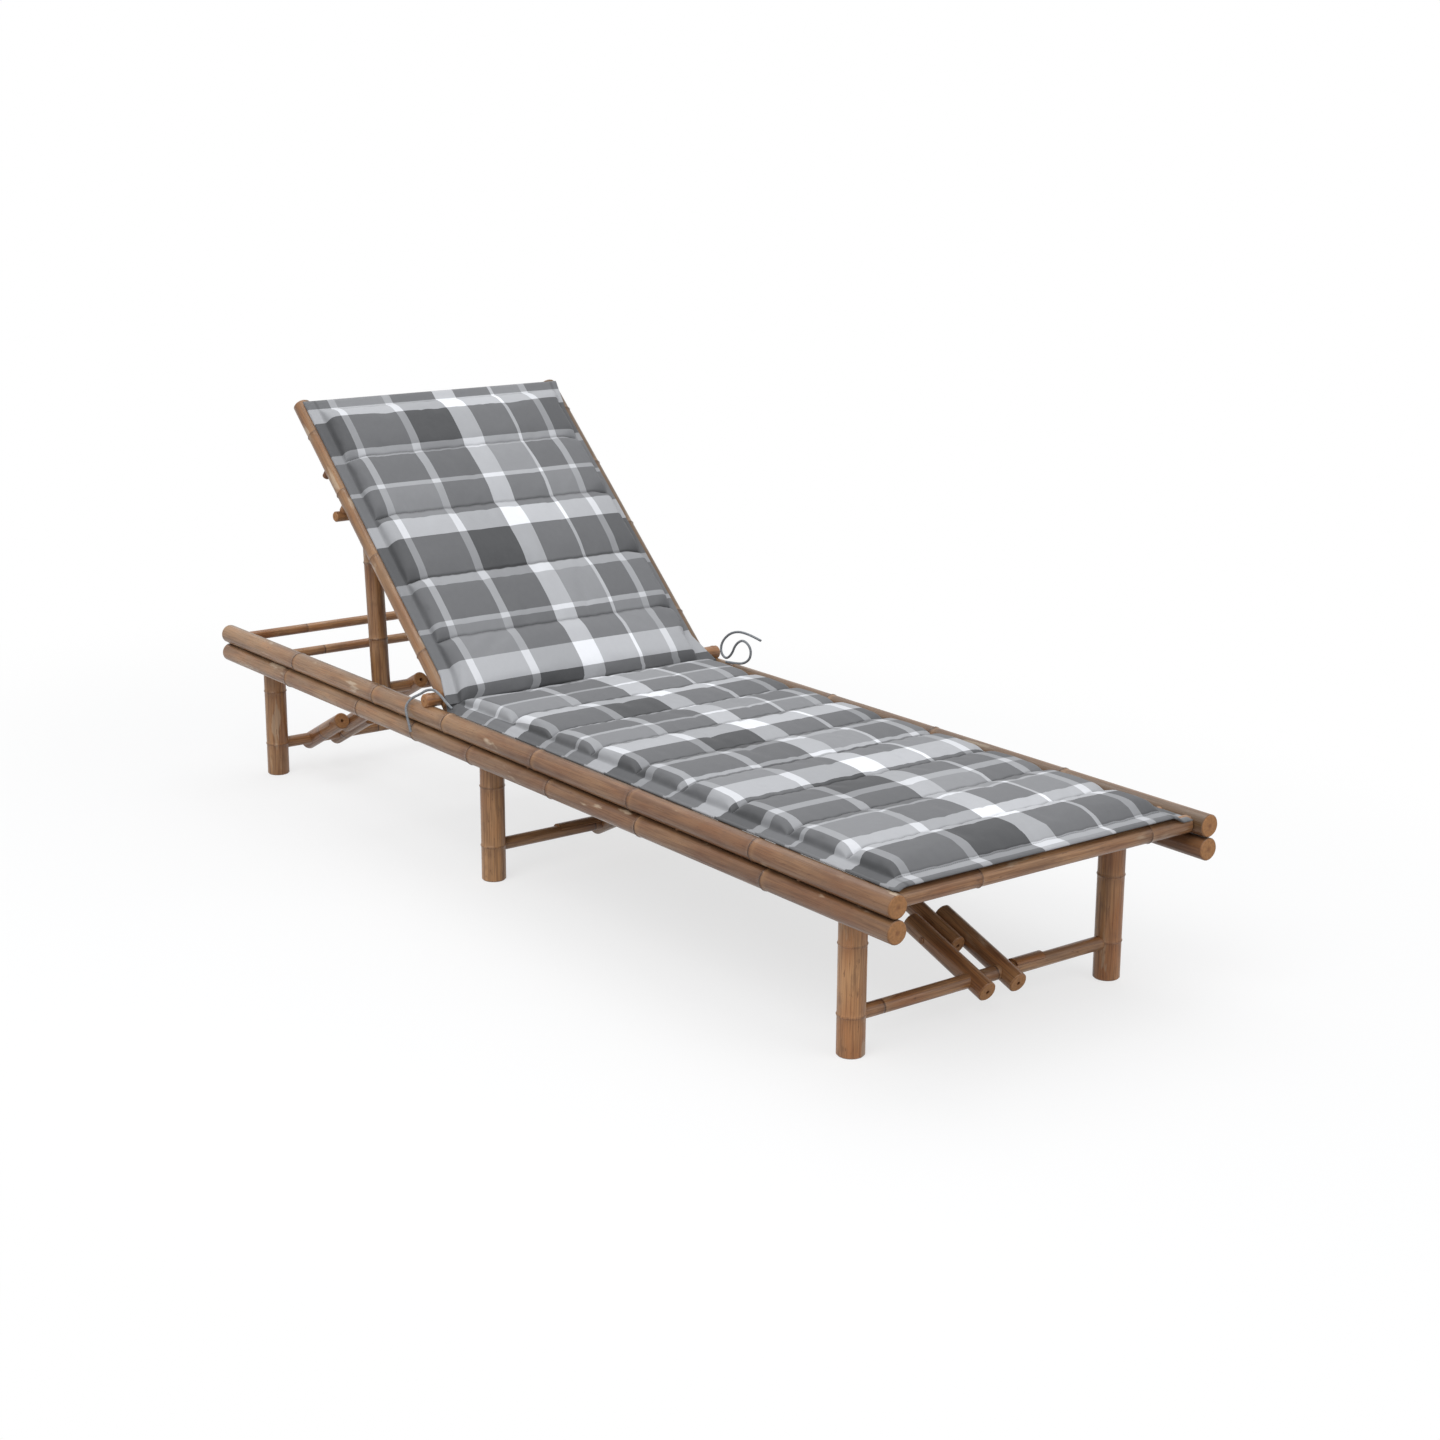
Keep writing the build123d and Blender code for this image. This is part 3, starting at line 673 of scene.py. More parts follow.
        # Painted shade in the crease along each seam and where the channels meet the hem
        crease_shade = seam_way.fade(*self.seam_crease_shade).most(hem_way.fade(*self.hem_crease_shade) * self.hem_crease_shade_share)
        stitches = (across * self.stitches_per_metre).fraction().fade(*self.stitch_gaps)
        stitch = seam_way.fade(*self.stitch_line) * stitches
        # Darken by the painted crease shade and by the stitches
        tone = tone - crease_shade * self.crease_shade_and_stitch_depth - stitch * self.crease_shade_and_stitch_depth
        darkest, lightest = self.tone_limits
        level = tone.least(lightest).most(darkest) ** self.screen_gamma
        red, green, blue = self.warmth
        colour = graph.node("ShaderNodeCombineColor", {}, {0: level * red, 1: level * green, 2: level * blue})
        return graph.surface(Base_Color=colour, Roughness=thread.fade(*NOISE_SPAN, *self.roughness),
                             Specular_IOR_Level=0.18, Sheen_Weight=0.12, Sheen_Roughness=0.5,
                             Normal=graph.bump(thread - stitch * self.stitch_dent, *self.bump))

    @staticmethod
    def _cloth_noise(graph: Graph, repeat: Value, across: Value, shape: tuple) -> Value:
        """Noise at a place on the cloth, by its scales, layer and detail."""
        along_scale, across_scale, layer, detail = shape
        return graph.cloud(graph.join(repeat * along_scale, across * across_scale, layer), detail)


@dataclass(frozen=True)
class TapeFinish:
    """Sewn tape of the ties."""

    face: tuple = tint(158, 161, 165)
    shade: tuple = tint(104, 108, 112)
    weave_scales: tuple = (900.0, 900.0, 900.0)
    weave_detail: float = 3.0
    weave_levels: tuple = (0.35, 0.65)
    roughness: tuple = (0.85, 0.95)
    bump: tuple = (0.3, 0.0005)

    def material(self, name: str) -> bpy.types.Material:
        """Finish of the ties.

        Args:
            name: Name of the material.

        Returns:
            The material.
        """
        graph = Graph.for_material(name)
        weave = graph.grain(self.weave_scales, self.weave_detail)
        colour = graph.mix(weave.fade(*self.weave_levels), self.face, self.shade)
        return graph.surface(Base_Color=colour, Roughness=weave.fade(*NOISE_SPAN, *self.roughness),
                             Specular_IOR_Level=0.2, Normal=graph.bump(weave, *self.bump))


@dataclass
class CaneFrame:
    """All canes and pegs that come from the solids, with their finishes."""

    finish: CaneFinish = field(default_factory=CaneFinish)
    pegs: PegFinish = field(default_factory=PegFinish)
    upper_rings: tuple = (-0.702, -0.400, -0.158, 0.121, 0.391, 0.695)
    lower_rings: tuple = (-0.737, -0.461, -0.264, -0.078, 0.164, 0.412, 0.722)
    leg_rings: tuple = (0.062, 0.168)
    pole_rings: tuple = (0.095, 0.310, 0.462, 0.600)
    pole_tail: float = 0.020
    post_rings: tuple = (0.120, 0.262)
    foot_bar_rings: tuple = (0.150, 0.487)
    foot_bar_half: float = 0.28745
    # Rings of the other canes: their pitch, and how far the first and the next ones stray from it
    joint_pitch: float = 0.26
    first_joint: tuple = (0.15, 0.9)
    next_joint: tuple = (0.8, 1.2)
    seed_span: float = 40.0
    first_draw: int = 11
    # By the end of a cane's name, with the usual value after them
    # On the rails, darkness also sets the painted shade toward their foot end
    darkness: tuple = (("_rail", 0.66), ("foot_bar", 0.36), ("_prop_post", 0.36),
                       ("left_backrest_pole", 0.60), ("_pole", 0.38),
                       ("rear_left_leg", 0.20), ("rear_right_leg", 0.20), ("_leg", 0.0))
    usual_darkness: float = 0.24
    ages: tuple = (("_rail", 0.75), ("_pole", 0.6))
    usual_age: float = 0.22
    ring_depths: tuple = (("_rail", 0.9), ("_leg", 0.36), ("_pole", 0.42), ("_prop_post", 0.5))
    usual_ring_depth: float = 0.75
    # Where the painted shade beside the pad starts, in radii; on the far backrest pole it goes all round
    pad_shade_starts: tuple = (("left_backrest_pole", -2.0),)
    usual_pad_shade_start: float = 0.25

    def dress(self, nodes: dict[str, bpy.types.Object]) -> None:
        """Give every cane and peg its finish.

        Args:
            nodes: Objects of the solids by name.
        """
        peg_material = self.pegs.material("peg_wood")
        for number, (name, item) in enumerate(sorted(nodes.items())):
            if "cushion" in name or name.endswith("_tie"):
                continue
            if name.endswith(("_pegs", "_pins", "_catches", "_spacers")):
                self._assign(item, peg_material)
                LOG.info("peg finish on %s", name)
            else:
                self._assign(item, self._cane(name, item, number))
                LOG.info("cane finish on %s", name)

    @staticmethod
    def _assign(item: bpy.types.Object, material: bpy.types.Material) -> None:
        """Put one material in every slot of an object.

        Args:
            item: The object.
            material: The material.
        """
        if not item.material_slots:
            item.data.materials.append(material)
        for slot in item.material_slots:
            slot.material = material

    @staticmethod
    def _run(name: str) -> Run:
        """Find the way that a cane runs.

        Args:
            name: Name of the cane.

        Returns:
            Its way.
        """
        if name.endswith("_rail"):
            return Run.LENGTHWISE
        if name.endswith("_leg"):
            return Run.UPRIGHT
        if name.endswith("_backrest_pole"):
            return Run.BACKREST
        if name.endswith("_prop_post"):
            return Run.PROP
        for pair in ("front", "middle", "rear"):
            if name in (f"{pair}_brace_left", f"{pair}_brace_right", f"{pair}_link"):
                return Run[f"{pair.upper()}_BRACE"]
        return Run.CROSSWISE

    @staticmethod
    def _pick(choices: Sequence[tuple[str, float]], name: str, usual: float) -> float:
        """First choice whose ending fits a name."""
        return next((value for ending, value in choices if name.endswith(ending)), usual)

    def _rings(self, name: str, half: float, draw: random.Random) -> list[float]:
        """Place a cane's node rings.

        Args:
            name: Name of the cane.
            half: Half its length.
            draw: Draws for the canes whose rings are not given.

        Returns:
            Places of the rings from its middle.
        """
        if name.endswith("_upper_rail"):
            return list(self.upper_rings)
        if name.endswith("_lower_rail"):
            return list(self.lower_rings)
        if name.endswith("_leg"):
            return [ring - half for ring in self.leg_rings]
        if name.endswith("_backrest_pole"):
            return [ring + self.pole_tail - half for ring in self.pole_rings]
        if name.endswith("_prop_post"):
            return [ring - half for ring in self.post_rings]
        if name == "foot_bar":
            return [ring - self.foot_bar_half for ring in self.foot_bar_rings]
        places = []
        spot = -half + draw.uniform(*self.first_joint) * self.joint_pitch
        while spot < half:
            places.append(spot)
            spot += self.joint_pitch * draw.uniform(*self.next_joint)
        return places

    def _cane(self, name: str, item: bpy.types.Object, number: int) -> bpy.types.Material:
        """Finish of one cane, measured on its solid.

        Args:
            name: Name of the cane.
            item: Its object.
            number: Its number in the frame, which seeds its markings.

        Returns:
            The material.
        """
        run = self._run(name)
        way = np.array(run.turn().to_matrix() @ Vector((1.0, 0.0, 0.0)))
        points = np.empty(3 * len(item.data.vertices))
        item.data.vertices.foreach_get("co", points)
        points = points.reshape(-1, 3)
        middle = (points.max(axis=0) + points.min(axis=0)) / 2
        spread = (points - middle) @ way
        middle = middle + way * (spread.max() + spread.min()) / 2
        half = float(spread.max() - spread.min()) / 2
        around = points - middle - np.outer((points - middle) @ way, way)
        radius = float(np.median(np.linalg.norm(around, axis=1)))
        # Upper rails and backrest poles take painted shade on their side toward the pad
        shaded = 0
        if name.endswith(("_upper_rail", "_backrest_pole")):
            shaded = 1 if name.startswith("right") else -1
        draw = random.Random(number + self.first_draw)
        rings = tuple(self._rings(name, half, draw))
        cane = CaneShape(run=run, centre=Vector(middle), half=half, radius=radius, rings=rings,
                         seed=draw.uniform(0.0, self.seed_span),
                         age=self._pick(self.ages, name, self.usual_age),
                         darkness=self._pick(self.darkness, name, self.usual_darkness),
                         ring_depth=self._pick(self.ring_depths, name, self.usual_ring_depth),
                         shaded_side=shaded,
                         pad_shade_from=self._pick(self.pad_shade_starts, name, self.usual_pad_shade_start),
                         partner=-1 if "_upper_" in name else 1)
        return self.finish.material(f"cane_{name}", cane)


@dataclass(frozen=True)
class PadLine:
    """One line across the pad.

    Attributes:
        on_back: Whether it lies on the backrest.
        place: X on the seat, or reach from the hinge on the backrest.
        bulge: Share of the crown to which the filling lifts the cloth.
        seam: Height of the cloth at the nearest seam.
        gap: Way to that seam.
        is_hem: Whether it lies on the flat hem.
    """

    on_back: bool
    place: float
    bulge: float
    seam: float
    gap: float
    is_hem: bool = False


@dataclass
class Pad:
    """One plaid pad over seat and backrest, sewn in crosswise channels, with a flat hem."""

    uv_name: str = "plaid"
    sewing_name: str = "sewing"
    # Way from a seam that the sewing map gives on the hem, which has none
    unsewn: float = 0.05
    # Heights of the top cloth: at the hem, over a channel, at a seam and in the crease at the hinge
    hem_thick: float = 0.0045
    crown: float = 0.0215
    seam: float = 0.0160
    crease_seam: float = 0.0070
    # How steeply the cloth leaves the crease, on the seat and on the backrest
    crease_slopes: tuple = (0.29, 2.0)
    # Ways over which a channel rises from its seams, its ends round off and a seam sinks to the hem
    shoulder: float = 0.026
    round_off: float = 0.016
    seam_run: float = 0.042
    # Underside: its sag, its height on the seat and its height over the hinge axis on the backrest
    belly: float = 0.0068
    seat_z: float = 0.29135
    back_lift: float = 0.0178
    # Edges and seams, as X on the seat and as reach from the hinge on the backrest
    seat_front: float = 0.986
    seat_seams: tuple = (0.960, 0.856, 0.724, 0.592, 0.464, 0.343, 0.216, 0.095, -0.022)
    back_seams: tuple = (0.099, 0.231, 0.377, 0.515, 0.640)
    back_end: float = 0.664
    rows_per_channel: int = 24
    hem_rows: int = 5
    # Shape of a channel: how the rows crowd at its seams, how steeply it rises, and the dome on top
    row_crowding: float = 0.4
    shoulder_power: float = 2.3
    dome: float = 0.1
    # Points over half a line: shares of the hem, steps over the rounded edge, points over the rest
    hem_shares: tuple = (-1.0, -0.94, -0.85)
    hem_points: int = 4
    curve_steps: int = 9
    curve_reach: float = 1.15
    flat_points: int = 34
    # Rim of the hem, in hem thicknesses over and under its plane
    rim: tuple = (0.6, 0.2)
    # Along the pad from its front edge, in metres: place, then what holds there
    middles: tuple = ((0.0, -0.010), (1.18, -0.002), (1.24, -0.006), (1.80, -0.006), (1.873, 0.0))
    halves: tuple = ((0.0, 0.2925), (1.18, 0.2885), (1.24, 0.269), (1.80, 0.269), (1.873, 0.276))
    right_hems: tuple = ((1.18, 0.026), (1.24, 0.022))
    left_hems: tuple = ((1.18, 0.042), (1.26, 0.014))
    repeats: tuple = ((0.0, -0.45), (0.101, -0.083), (0.156, 0.083), (0.403, 0.917), (0.459, 1.083),
                      (0.694, 1.917), (0.750, 2.083), (0.956, 2.917), (0.996, 3.083), (1.199, 3.917),
                      (1.251, 4.083), (1.524, 4.917), (1.569, 5.083), (1.817, 5.917), (1.850, 6.083),
                      (1.90, 6.28))
    stripe_shifts: tuple = ((0.036, -0.003), (0.536, 0.004), (0.836, 0.002), (1.15, -0.012), (1.185, 0.010))
    stripe_scales: tuple = ((1.16, 1.0), (1.19, 0.914))
    # The upper rail under the seat's hem, and how the hem hangs on it
    rail_y: float = 0.305
    rail_radius: float = 0.0175
    droop: float = 0.0105
    droop_run: float = 0.022
    rail_gap: float = 0.0005
    # Where the belly hangs on the backrest, on the seat and beside the middle, and how fast it starts
    back_belly: tuple = (0.045, 0.625)
    seat_belly: tuple = (-0.150, 0.935)
    belly_half: float = 0.240
    belly_run: float = 0.03
    hinge_belly_run: float = 0.04
    # Unevenness: height in metres, then the scales of its noise on two ways, and its layer
    hem_waves: tuple = (0.0007, 22.0, 22.0, 4.0)
    gathers: tuple = (0.0014, 55.0, 9.0, 1.7)
    lumps: tuple = (0.0011, 10.0, 13.0, 9.1)
    gather_reach: float = 0.014
    edge_calm: float = 0.02
    # Cloth simulation of the top: pressure, spare cloth, stiffness, frames and the most that it may move
    pressure: float = 2.5
    ease: float = 0.006
    bend: float = 1.5
    frames: int = 14
    swell: float = 0.0040

    def build(self) -> bpy.types.Object:
        """Make the pad.

        Returns:
            The finished object.
        """
        lines = self._lines()
        top, bottom, places, sewing, sewn = [], [], [], [], []
        for line in lines:
            for offset, inside in self._spots(self._flow(line)):
                upper, lower, place = self._point(line, offset, inside)
                if line.is_hem or line.gap == 0 or inside <= 0:
                    sewn.append(len(top))
                top.append(upper)
                bottom.append(lower)
                places.append(place)
                sewing.append((self.unsewn if line.is_hem or inside <= 0 else line.gap, abs(inside)))
        faces = self._faces(len(lines), len(top) // len(lines))
        top = self._inflate(top, [face for face in faces if max(face) < len(top)], sewn)
        mesh = bpy.data.meshes.new("plaid_pad")
        mesh.from_pydata(top + bottom, [], faces)
        corners = np.empty(len(mesh.loops), dtype=np.int32)
        mesh.loops.foreach_get("vertex_index", corners)
        for name, pairs in ((self.uv_name, places), (self.sewing_name, sewing)):
            table = np.array(pairs + pairs, dtype=np.float32)
            mesh.uv_layers.new(name=name).data.foreach_set("uv", table[corners].ravel())
        mesh.polygons.foreach_set("use_smooth", np.ones(len(mesh.polygons), dtype=bool))
        mesh.update()
        pad = bpy.data.objects.new("plaid_pad", mesh)
        bpy.context.collection.objects.link(pad)
        pad.data.materials.append(PlaidFinish().material("plaid_cloth", self.uv_name, self.sewing_name))
        return pad

    def _inflate(self, top: list[tuple], faces: list[tuple], sewn: list[int]) -> list[tuple]:
        """Let the filling swell the top cloth between its seams, by a cloth simulation.

        Args:
            top: Points of the top cloth.
            faces: Its faces.
            sewn: Numbers of the points that the seams and the hem hold.

        Returns:
            The points where the cloth comes to rest.
        """
        mesh = bpy.data.meshes.new("top_cloth")
        mesh.from_pydata(top, [], faces)
        sheet = bpy.data.objects.new("top_cloth", mesh)
        bpy.context.collection.objects.link(sheet)
        sheet.vertex_groups.new(name="sewn").add(sewn, 1.0, "REPLACE")
        cloth = sheet.modifiers.new("cloth", "CLOTH")
        cloth.settings.vertex_group_mass = "sewn"
        cloth.settings.use_pressure = True
        cloth.settings.uniform_pressure_force = self.pressure
        cloth.settings.shrink_min = -self.ease
        cloth.settings.bending_stiffness = self.bend
        cloth.settings.effector_weights.gravity = 0.0
        cloth.collision_settings.use_collision = False
        cloth.point_cache.frame_end = self.frames
        for number in range(1, self.frames + 1):
            bpy.context.scene.frame_set(number)
        settled = sheet.evaluated_get(bpy.context.evaluated_depsgraph_get())
        after = np.empty(3 * len(top))
        settled.data.vertices.foreach_get("co", after)
        before = np.array(top)
        shift = after.reshape(-1, 3) - before
        size = np.linalg.norm(shift, axis=1, keepdims=True)
        shift *= np.tanh(size / self.swell) * self.swell / np.maximum(size, np.finfo(float).tiny)
        LOG.info("pad cloth moved %.1f mm at most", 1000 * np.linalg.norm(shift, axis=1).max())
        bpy.context.scene.frame_set(1)
        bpy.data.objects.remove(sheet)
        bpy.data.meshes.remove(mesh)
        return [tuple(point) for point in before + shift]

    def _lines(self) -> list[PadLine]:
        """Lay out the lines across the pad.

        Returns:
            The lines from the foot hem to the head hem.
        """
        seat_edges = list(self.seat_seams) + [self._corner()[0]]
        back_edges = [self._corner_reach()] + list(self.back_seams)
        lines = self._hem(False, self.seat_front, seat_edges[0])[:-1]
        for number, (start, end) in enumerate(zip(seat_edges, seat_edges[1:])):
            first = self.hem_thick if number == 0 else self.seam
            last = self.crease_seam if number == len(seat_edges) - 2 else self.seam
            lines += self._channel(False, start, end, first, last)
        for number, (start, end) in enumerate(zip(back_edges, back_edges[1:])):
            first = self.crease_seam if number == 0 else self.seam
            last = self.hem_thick if number == len(back_edges) - 2 else self.seam
            lines += self._channel(True, start, end, first, last)
        return lines + self._hem(True, back_edges[-1], self.back_end)

    def _hem(self, on_back: bool, start: float, end: float) -> list[PadLine]:
        """Lines over the flat hem at one end."""
        places = np.linspace(start, end, self.hem_rows + 1)
        return [PadLine(on_back, float(place), 0.0, self.hem_thick, 0.0, True) for place in places]

    def _channel(self, on_back: bool, start: float, end: float, first: float, last: float) -> list[PadLine]:
        """Lay out one channel.

        Args:
            on_back: Whether it lies on the backrest.
            start: Place of its first seam.
            end: Place of its last seam.
            first: Height of the cloth at the first seam.
            last: Height of the cloth at the last seam.

        Returns:
            Its lines, from the first seam up to the line before the last.
        """
        lines = []
        width = abs(end - start)
        for step in range(self.rows_per_channel):
            turn = math.pi * step / self.rows_per_channel
            crowding = 1 - self.row_crowding + self.row_crowding * abs(math.cos(turn))
            share = 0.5 - 0.5 * math.cos(turn) * crowding
            gap = min(share, 1 - share) * width
            lift = 1 - (1 - min(1.0, gap / self.shoulder)) ** self.shoulder_power
            bulge = lift * (1 - self.dome + self.dome * (1 - (2 * share - 1) ** 2))
            seam = first if share < 0.5 else last
            lines.append(PadLine(on_back, start + (end - start) * share, bulge, seam, gap))
        return lines

    def _corner_reach(self) -> float:
        """Reach on the backrest where its pad plane meets the seat's."""
        return (self.seat_z - HINGE[1] - BACK_FRONT[1] * self.back_lift) / BACK_UP[1]

    def _corner(self) -> tuple[float, float]:
        """Where the undersides of seat and back meet."""
        return self._back_point(self._corner_reach(), self.back_lift)

    @staticmethod
    def _back_point(reach: float, lift: float) -> tuple[float, float]:
        """Point above the backrest, in the upright plane."""
        return (HINGE[0] + BACK_UP[0] * reach + BACK_FRONT[0] * lift,
                HINGE[1] + BACK_UP[1] * reach + BACK_FRONT[1] * lift)

    def _spots(self, flow: float) -> list[tuple[float, float]]:
        """Points across one line, from the right edge to the left.

        Args:
            flow: Way along the pad.

        Returns:
            Offset from the middle and way in from the hem of each point.
        """
        half = self._at(self.halves, flow)
        sides = []
        for hem in (self._at(self.right_hems, flow), self._at(self.left_hems, flow)):
            curve = self.round_off * self.curve_reach
            edge, beside, inner = (share * hem for share in self.hem_shares)
            ways = [edge, beside] + list(np.linspace(inner, 0.0, self.hem_points))
            ways += [curve * (1 - math.cos(math.pi / 2 * step / self.curve_steps))
                     for step in range(1, self.curve_steps + 1)]
            ways += list(np.linspace(curve, half - hem, self.flat_points)[1:])
            sides.append([(half - hem - way, way) for way in ways])
        right, left = sides
        return [(-offset, way) for offset, way in right] + list(reversed(left[:-1]))

    def _flow(self, line: PadLine) -> float:
        """Measure along the underside from the front edge.

        Args:
            line: A line across the pad.

        Returns:
            The way to it.
        """
        if line.on_back:
            return self.seat_front - self._corner()[0] + line.place - self._corner_reach()
        return self.seat_front - line.place

    @staticmethod
    def _at(marks: Sequence[tuple[float, float]], flow: float) -> float:
        """Value between marks along the pad."""
        return float(np.interp(flow, [mark[0] for mark in marks], [mark[1] for mark in marks]))

    def _point(self, line: PadLine, offset: float, inside: float) -> tuple:
        """Shape the pad at one place.

        Args:
            line: The line across the pad.
            offset: Way from the pad's middle.
            inside: Way in from the hem, negative on it.

        Returns:
            The point on the top cloth, the point under it and their place on the plaid.
        """
        flow = self._flow(line)
        y = self._at(self.middles, flow) + offset
        rise = self._rise(line, inside) + self._pucker(line, offset, inside)
        sag = self.belly * self._sag(line, abs(offset))
        at_side = abs(offset) > self._at(self.halves, flow) - SAME_PLACE
        if at_side or line.place in (self.seat_front, self.back_end):
            rise, sag = self.rim[0] * self.hem_thick, -self.rim[1] * self.hem_thick
        drop = self._drop(line, y, inside)
        base, normal = self._ground(line)
        upper = (base[0] + normal[0] * (rise - drop), y, base[1] + normal[1] * (rise - drop))
        lower = (base[0] - normal[0] * (sag + drop), y, base[1] - normal[1] * (sag + drop))
        across = (y - self._at(self.stripe_shifts, flow)) / self._at(self.stripe_scales, flow)
        return upper, lower, (self._at(self.repeats, flow), across)

    def _drop(self, line: PadLine, y: float, inside: float) -> float:
        """Let the seat's hem hang down to the rail under it.

        Args:
            line: The line across the pad.
            y: Place across the frame.
            inside: Way in from the hem, negative on it.

        Returns:
            How far it hangs.
        """
        if line.on_back or inside >= 0:
            return 0.0
        beside = self.rail_radius ** 2 - (abs(y) - self.rail_y) ** 2
        rail_top = RAIL_AXIS_Z + math.sqrt(beside) if beside > 0 else 0.0
        hang = self.droop * min(1.0, -inside / self.droop_run) ** 2
        return max(0.0, min(hang, self.seat_z - rail_top - self.rail_gap))

    def _ground(self, line: PadLine) -> tuple[tuple[float, float], tuple[float, float]]:
        """Find the ground of one line, in the upright plane.

        Args:
            line: The line across the pad.

        Returns:
            The point under it, and the way that the pad rises from it.
        """
        if not line.on_back:
            return (line.place, self.seat_z), (0.0, 1.0)
        base = self._back_point(line.place, self.back_lift)
        if abs(line.place - self._corner_reach()) < SAME_PLACE:
            return base, (math.tan(BACK_ANGLE / 2), 1.0)
        return base, BACK_FRONT

    def _rise(self, line: PadLine, inside: float) -> float:
        """Raise the top cloth over the underside.

        Args:
            line: The line across the pad.
            inside: Way in from the hem, negative on it.

        Returns:
            Height of the cloth.
        """
        if line.is_hem or inside <= 0:
            return self.hem_thick
        wall = min(1.0, inside / self.round_off)
        crown = self.hem_thick + (self.crown - self.hem_thick) * math.sqrt(1 - (1 - wall) ** 2)
        run = min(1.0, inside / self.seam_run)
        seam = self.hem_thick + (line.seam - self.hem_thick) * run * run * (3 - 2 * run)
        rise = seam + (crown - seam) * line.bulge
        if line.seam == self.crease_seam:
            rise = min(rise, self.crease_seam + line.gap * self.crease_slopes[int(line.on_back)])
        return max(rise, self.hem_thick)

    def _sag(self, line: PadLine, side: float) -> float:
        """Let the pad sag between the rungs, but not on the rails, at the ends or over the hinge.

        Args:
            line: The line across the pad.
            side: Way from the pad's middle.

        Returns:
            Share of the belly.
        """
        if line.on_back:
            start, end = self.back_belly
            ends = min((line.place - start) / self.hinge_belly_run, (end - line.place) / self.belly_run)
        else:
            start, end = self.seat_belly
            ends = min((end - line.place) / self.belly_run, (line.place - start) / self.belly_run)
        return max(0.0, min(1.0, ends, (self.belly_half - side) / self.belly_run))

    def _pucker(self, line: PadLine, offset: float, inside: float) -> float:
        """Gather the cloth beside the seams and make the filling a little uneven.

        Args:
            line: The line across the pad.
            offset: Way from the pad's middle.
            inside: Way in from the hem, negative on it.

        Returns:
            Height to add.
        """
        way = self._flow(line)
        if line.is_hem or inside <= 0:
            return self._wave(self.hem_waves, way, offset)
        near = math.exp(-line.gap / self.gather_reach)
        gather = self._wave(self.gathers, offset, way) * near
        lump = self._wave(self.lumps, offset, way) * (1.0 - near)
        return min(1.0, inside / self.edge_calm) * (gather + lump)

    @staticmethod
    def _wave(shape: tuple[float, float, float, float], first: float, second: float) -> float:
        """Height of one kind of unevenness at a place on the pad, given by its two ways."""
        height, first_scale, second_scale, layer = shape
        return height * noise.noise(Vector((first * first_scale, second * second_scale, layer)))

    @staticmethod
    def _faces(rows: int, wide: int) -> list[tuple[int, int, int, int]]:
        """Join the points of the top, then those of the underside, to a closed skin.

        Args:
            rows: Number of lines across the pad.
            wide: Number of points on each.

        Returns:
            Faces of top, underside and rim, all turned outward.
        """
        faces = []
        under = rows * wide
        for row in range(rows - 1):
            for column in range(wide - 1):
                here = row * wide + column
                faces.append((here, here + 1, here + wide + 1, here + wide))
                faces.append((under + here, under + here + wide, under + here + wide + 1, under + here + 1))
        for row in range(rows - 1):
            right = row * wide
            left = right + wide - 1
            faces.append((right, right + wide, under + right + wide, under + right))
            faces.append((left, under + left, under + left + wide, left + wide))
        last = (rows - 1) * wide
        for column in range(wide - 1):
            faces.append((column, under + column, under + column + 1, column + 1))
            here = last + column
            faces.append((here, here + 1, under + here + 1, under + here))
        return faces


@dataclass
class Ties:
    """The two cords that hold the pad to the hinge end of the rails."""

    diameter: float = 0.0045
    # Ahead of the hinge, out from the hem, above the rail axis, in millimetres
    left: tuple = ((57.0, 2.7, 21.6), (79.0, 8.5, 21.8), (101.0, 12.0, 25.2), (119.0, 12.5, 38.8),
                   (121.0, 11.0, 59.8), (99.0, 10.0, 70.8), (75.0, 11.0, 56.8), (61.0, 13.5, 34.8),
                   (43.0, 13.5, 21.8), (24.0, 15.0, 31.8), (27.0, 16.5, 53.8), (55.0, 17.5, 75.8),
                   (97.0, 17.5, 82.8), (143.0, 16.5, 75.8))
    right: tuple = ((57.0, 2.7, 21.6), (41.0, 3.5, 27.2), (24.0, 5.0, 38.8), (3.0, 6.5, 45.2),
                    (-19.0, 9.0, 39.8), (-31.0, 14.0, 30.8), (-43.0, 26.0, 22.8), (-43.0, 38.0, 8.8),
                    (-31.0, 40.0, -9.2), (-21.0, 40.0, -30.2))
    left_length: float = 0.325
    right_length: float = 0.163

    def build(self) -> None:
        """Make both ties and say what they are."""
        tape = TapeFinish().material("tie_tape")
        self._cord("left_tie_cord", self.left, 1, tape, "left_tie")
        self._cord("right_tie_cord", self.right, -1, tape, "right_tie")

    def _cord(self, name: str, route: Sequence[tuple], side: int,
              tape: bpy.types.Material, node: str) -> None:
        """Lay one tie as a smooth curve along its route.

        Args:
            name: Name of the tie.
            route: Its points, as in the fields.
            side: Sign of Y on its side.
            tape: Its material.
            node: The solid that it stands for.
        """
        points = [(HINGE[0] + ahead * MM, side * (HEM_EDGE_Y + out * MM), RAIL_AXIS_Z + up * MM)
                  for ahead, out, up in route]
        curve = bpy.data.curves.new(name, "CURVE")
        curve.dimensions = "3D"
        curve.bevel_depth = self.diameter / 2
        curve.bevel_resolution = 4
        curve.use_fill_caps = True
        spline = curve.splines.new("NURBS")
        spline.points.add(len(points) - 1)
        for spot, place in zip(spline.points, points):
            spot.co = (*place, 1.0)
        spline.order_u = 3
        spline.use_endpoint_u = True
        spline.resolution_u = 8
        cord = bpy.data.objects.new(name, curve)
        bpy.context.collection.objects.link(cord)
        curve.materials.append(tape)
        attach(cord, "frame")
        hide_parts(node)
        LOG.info("tie %s", name)


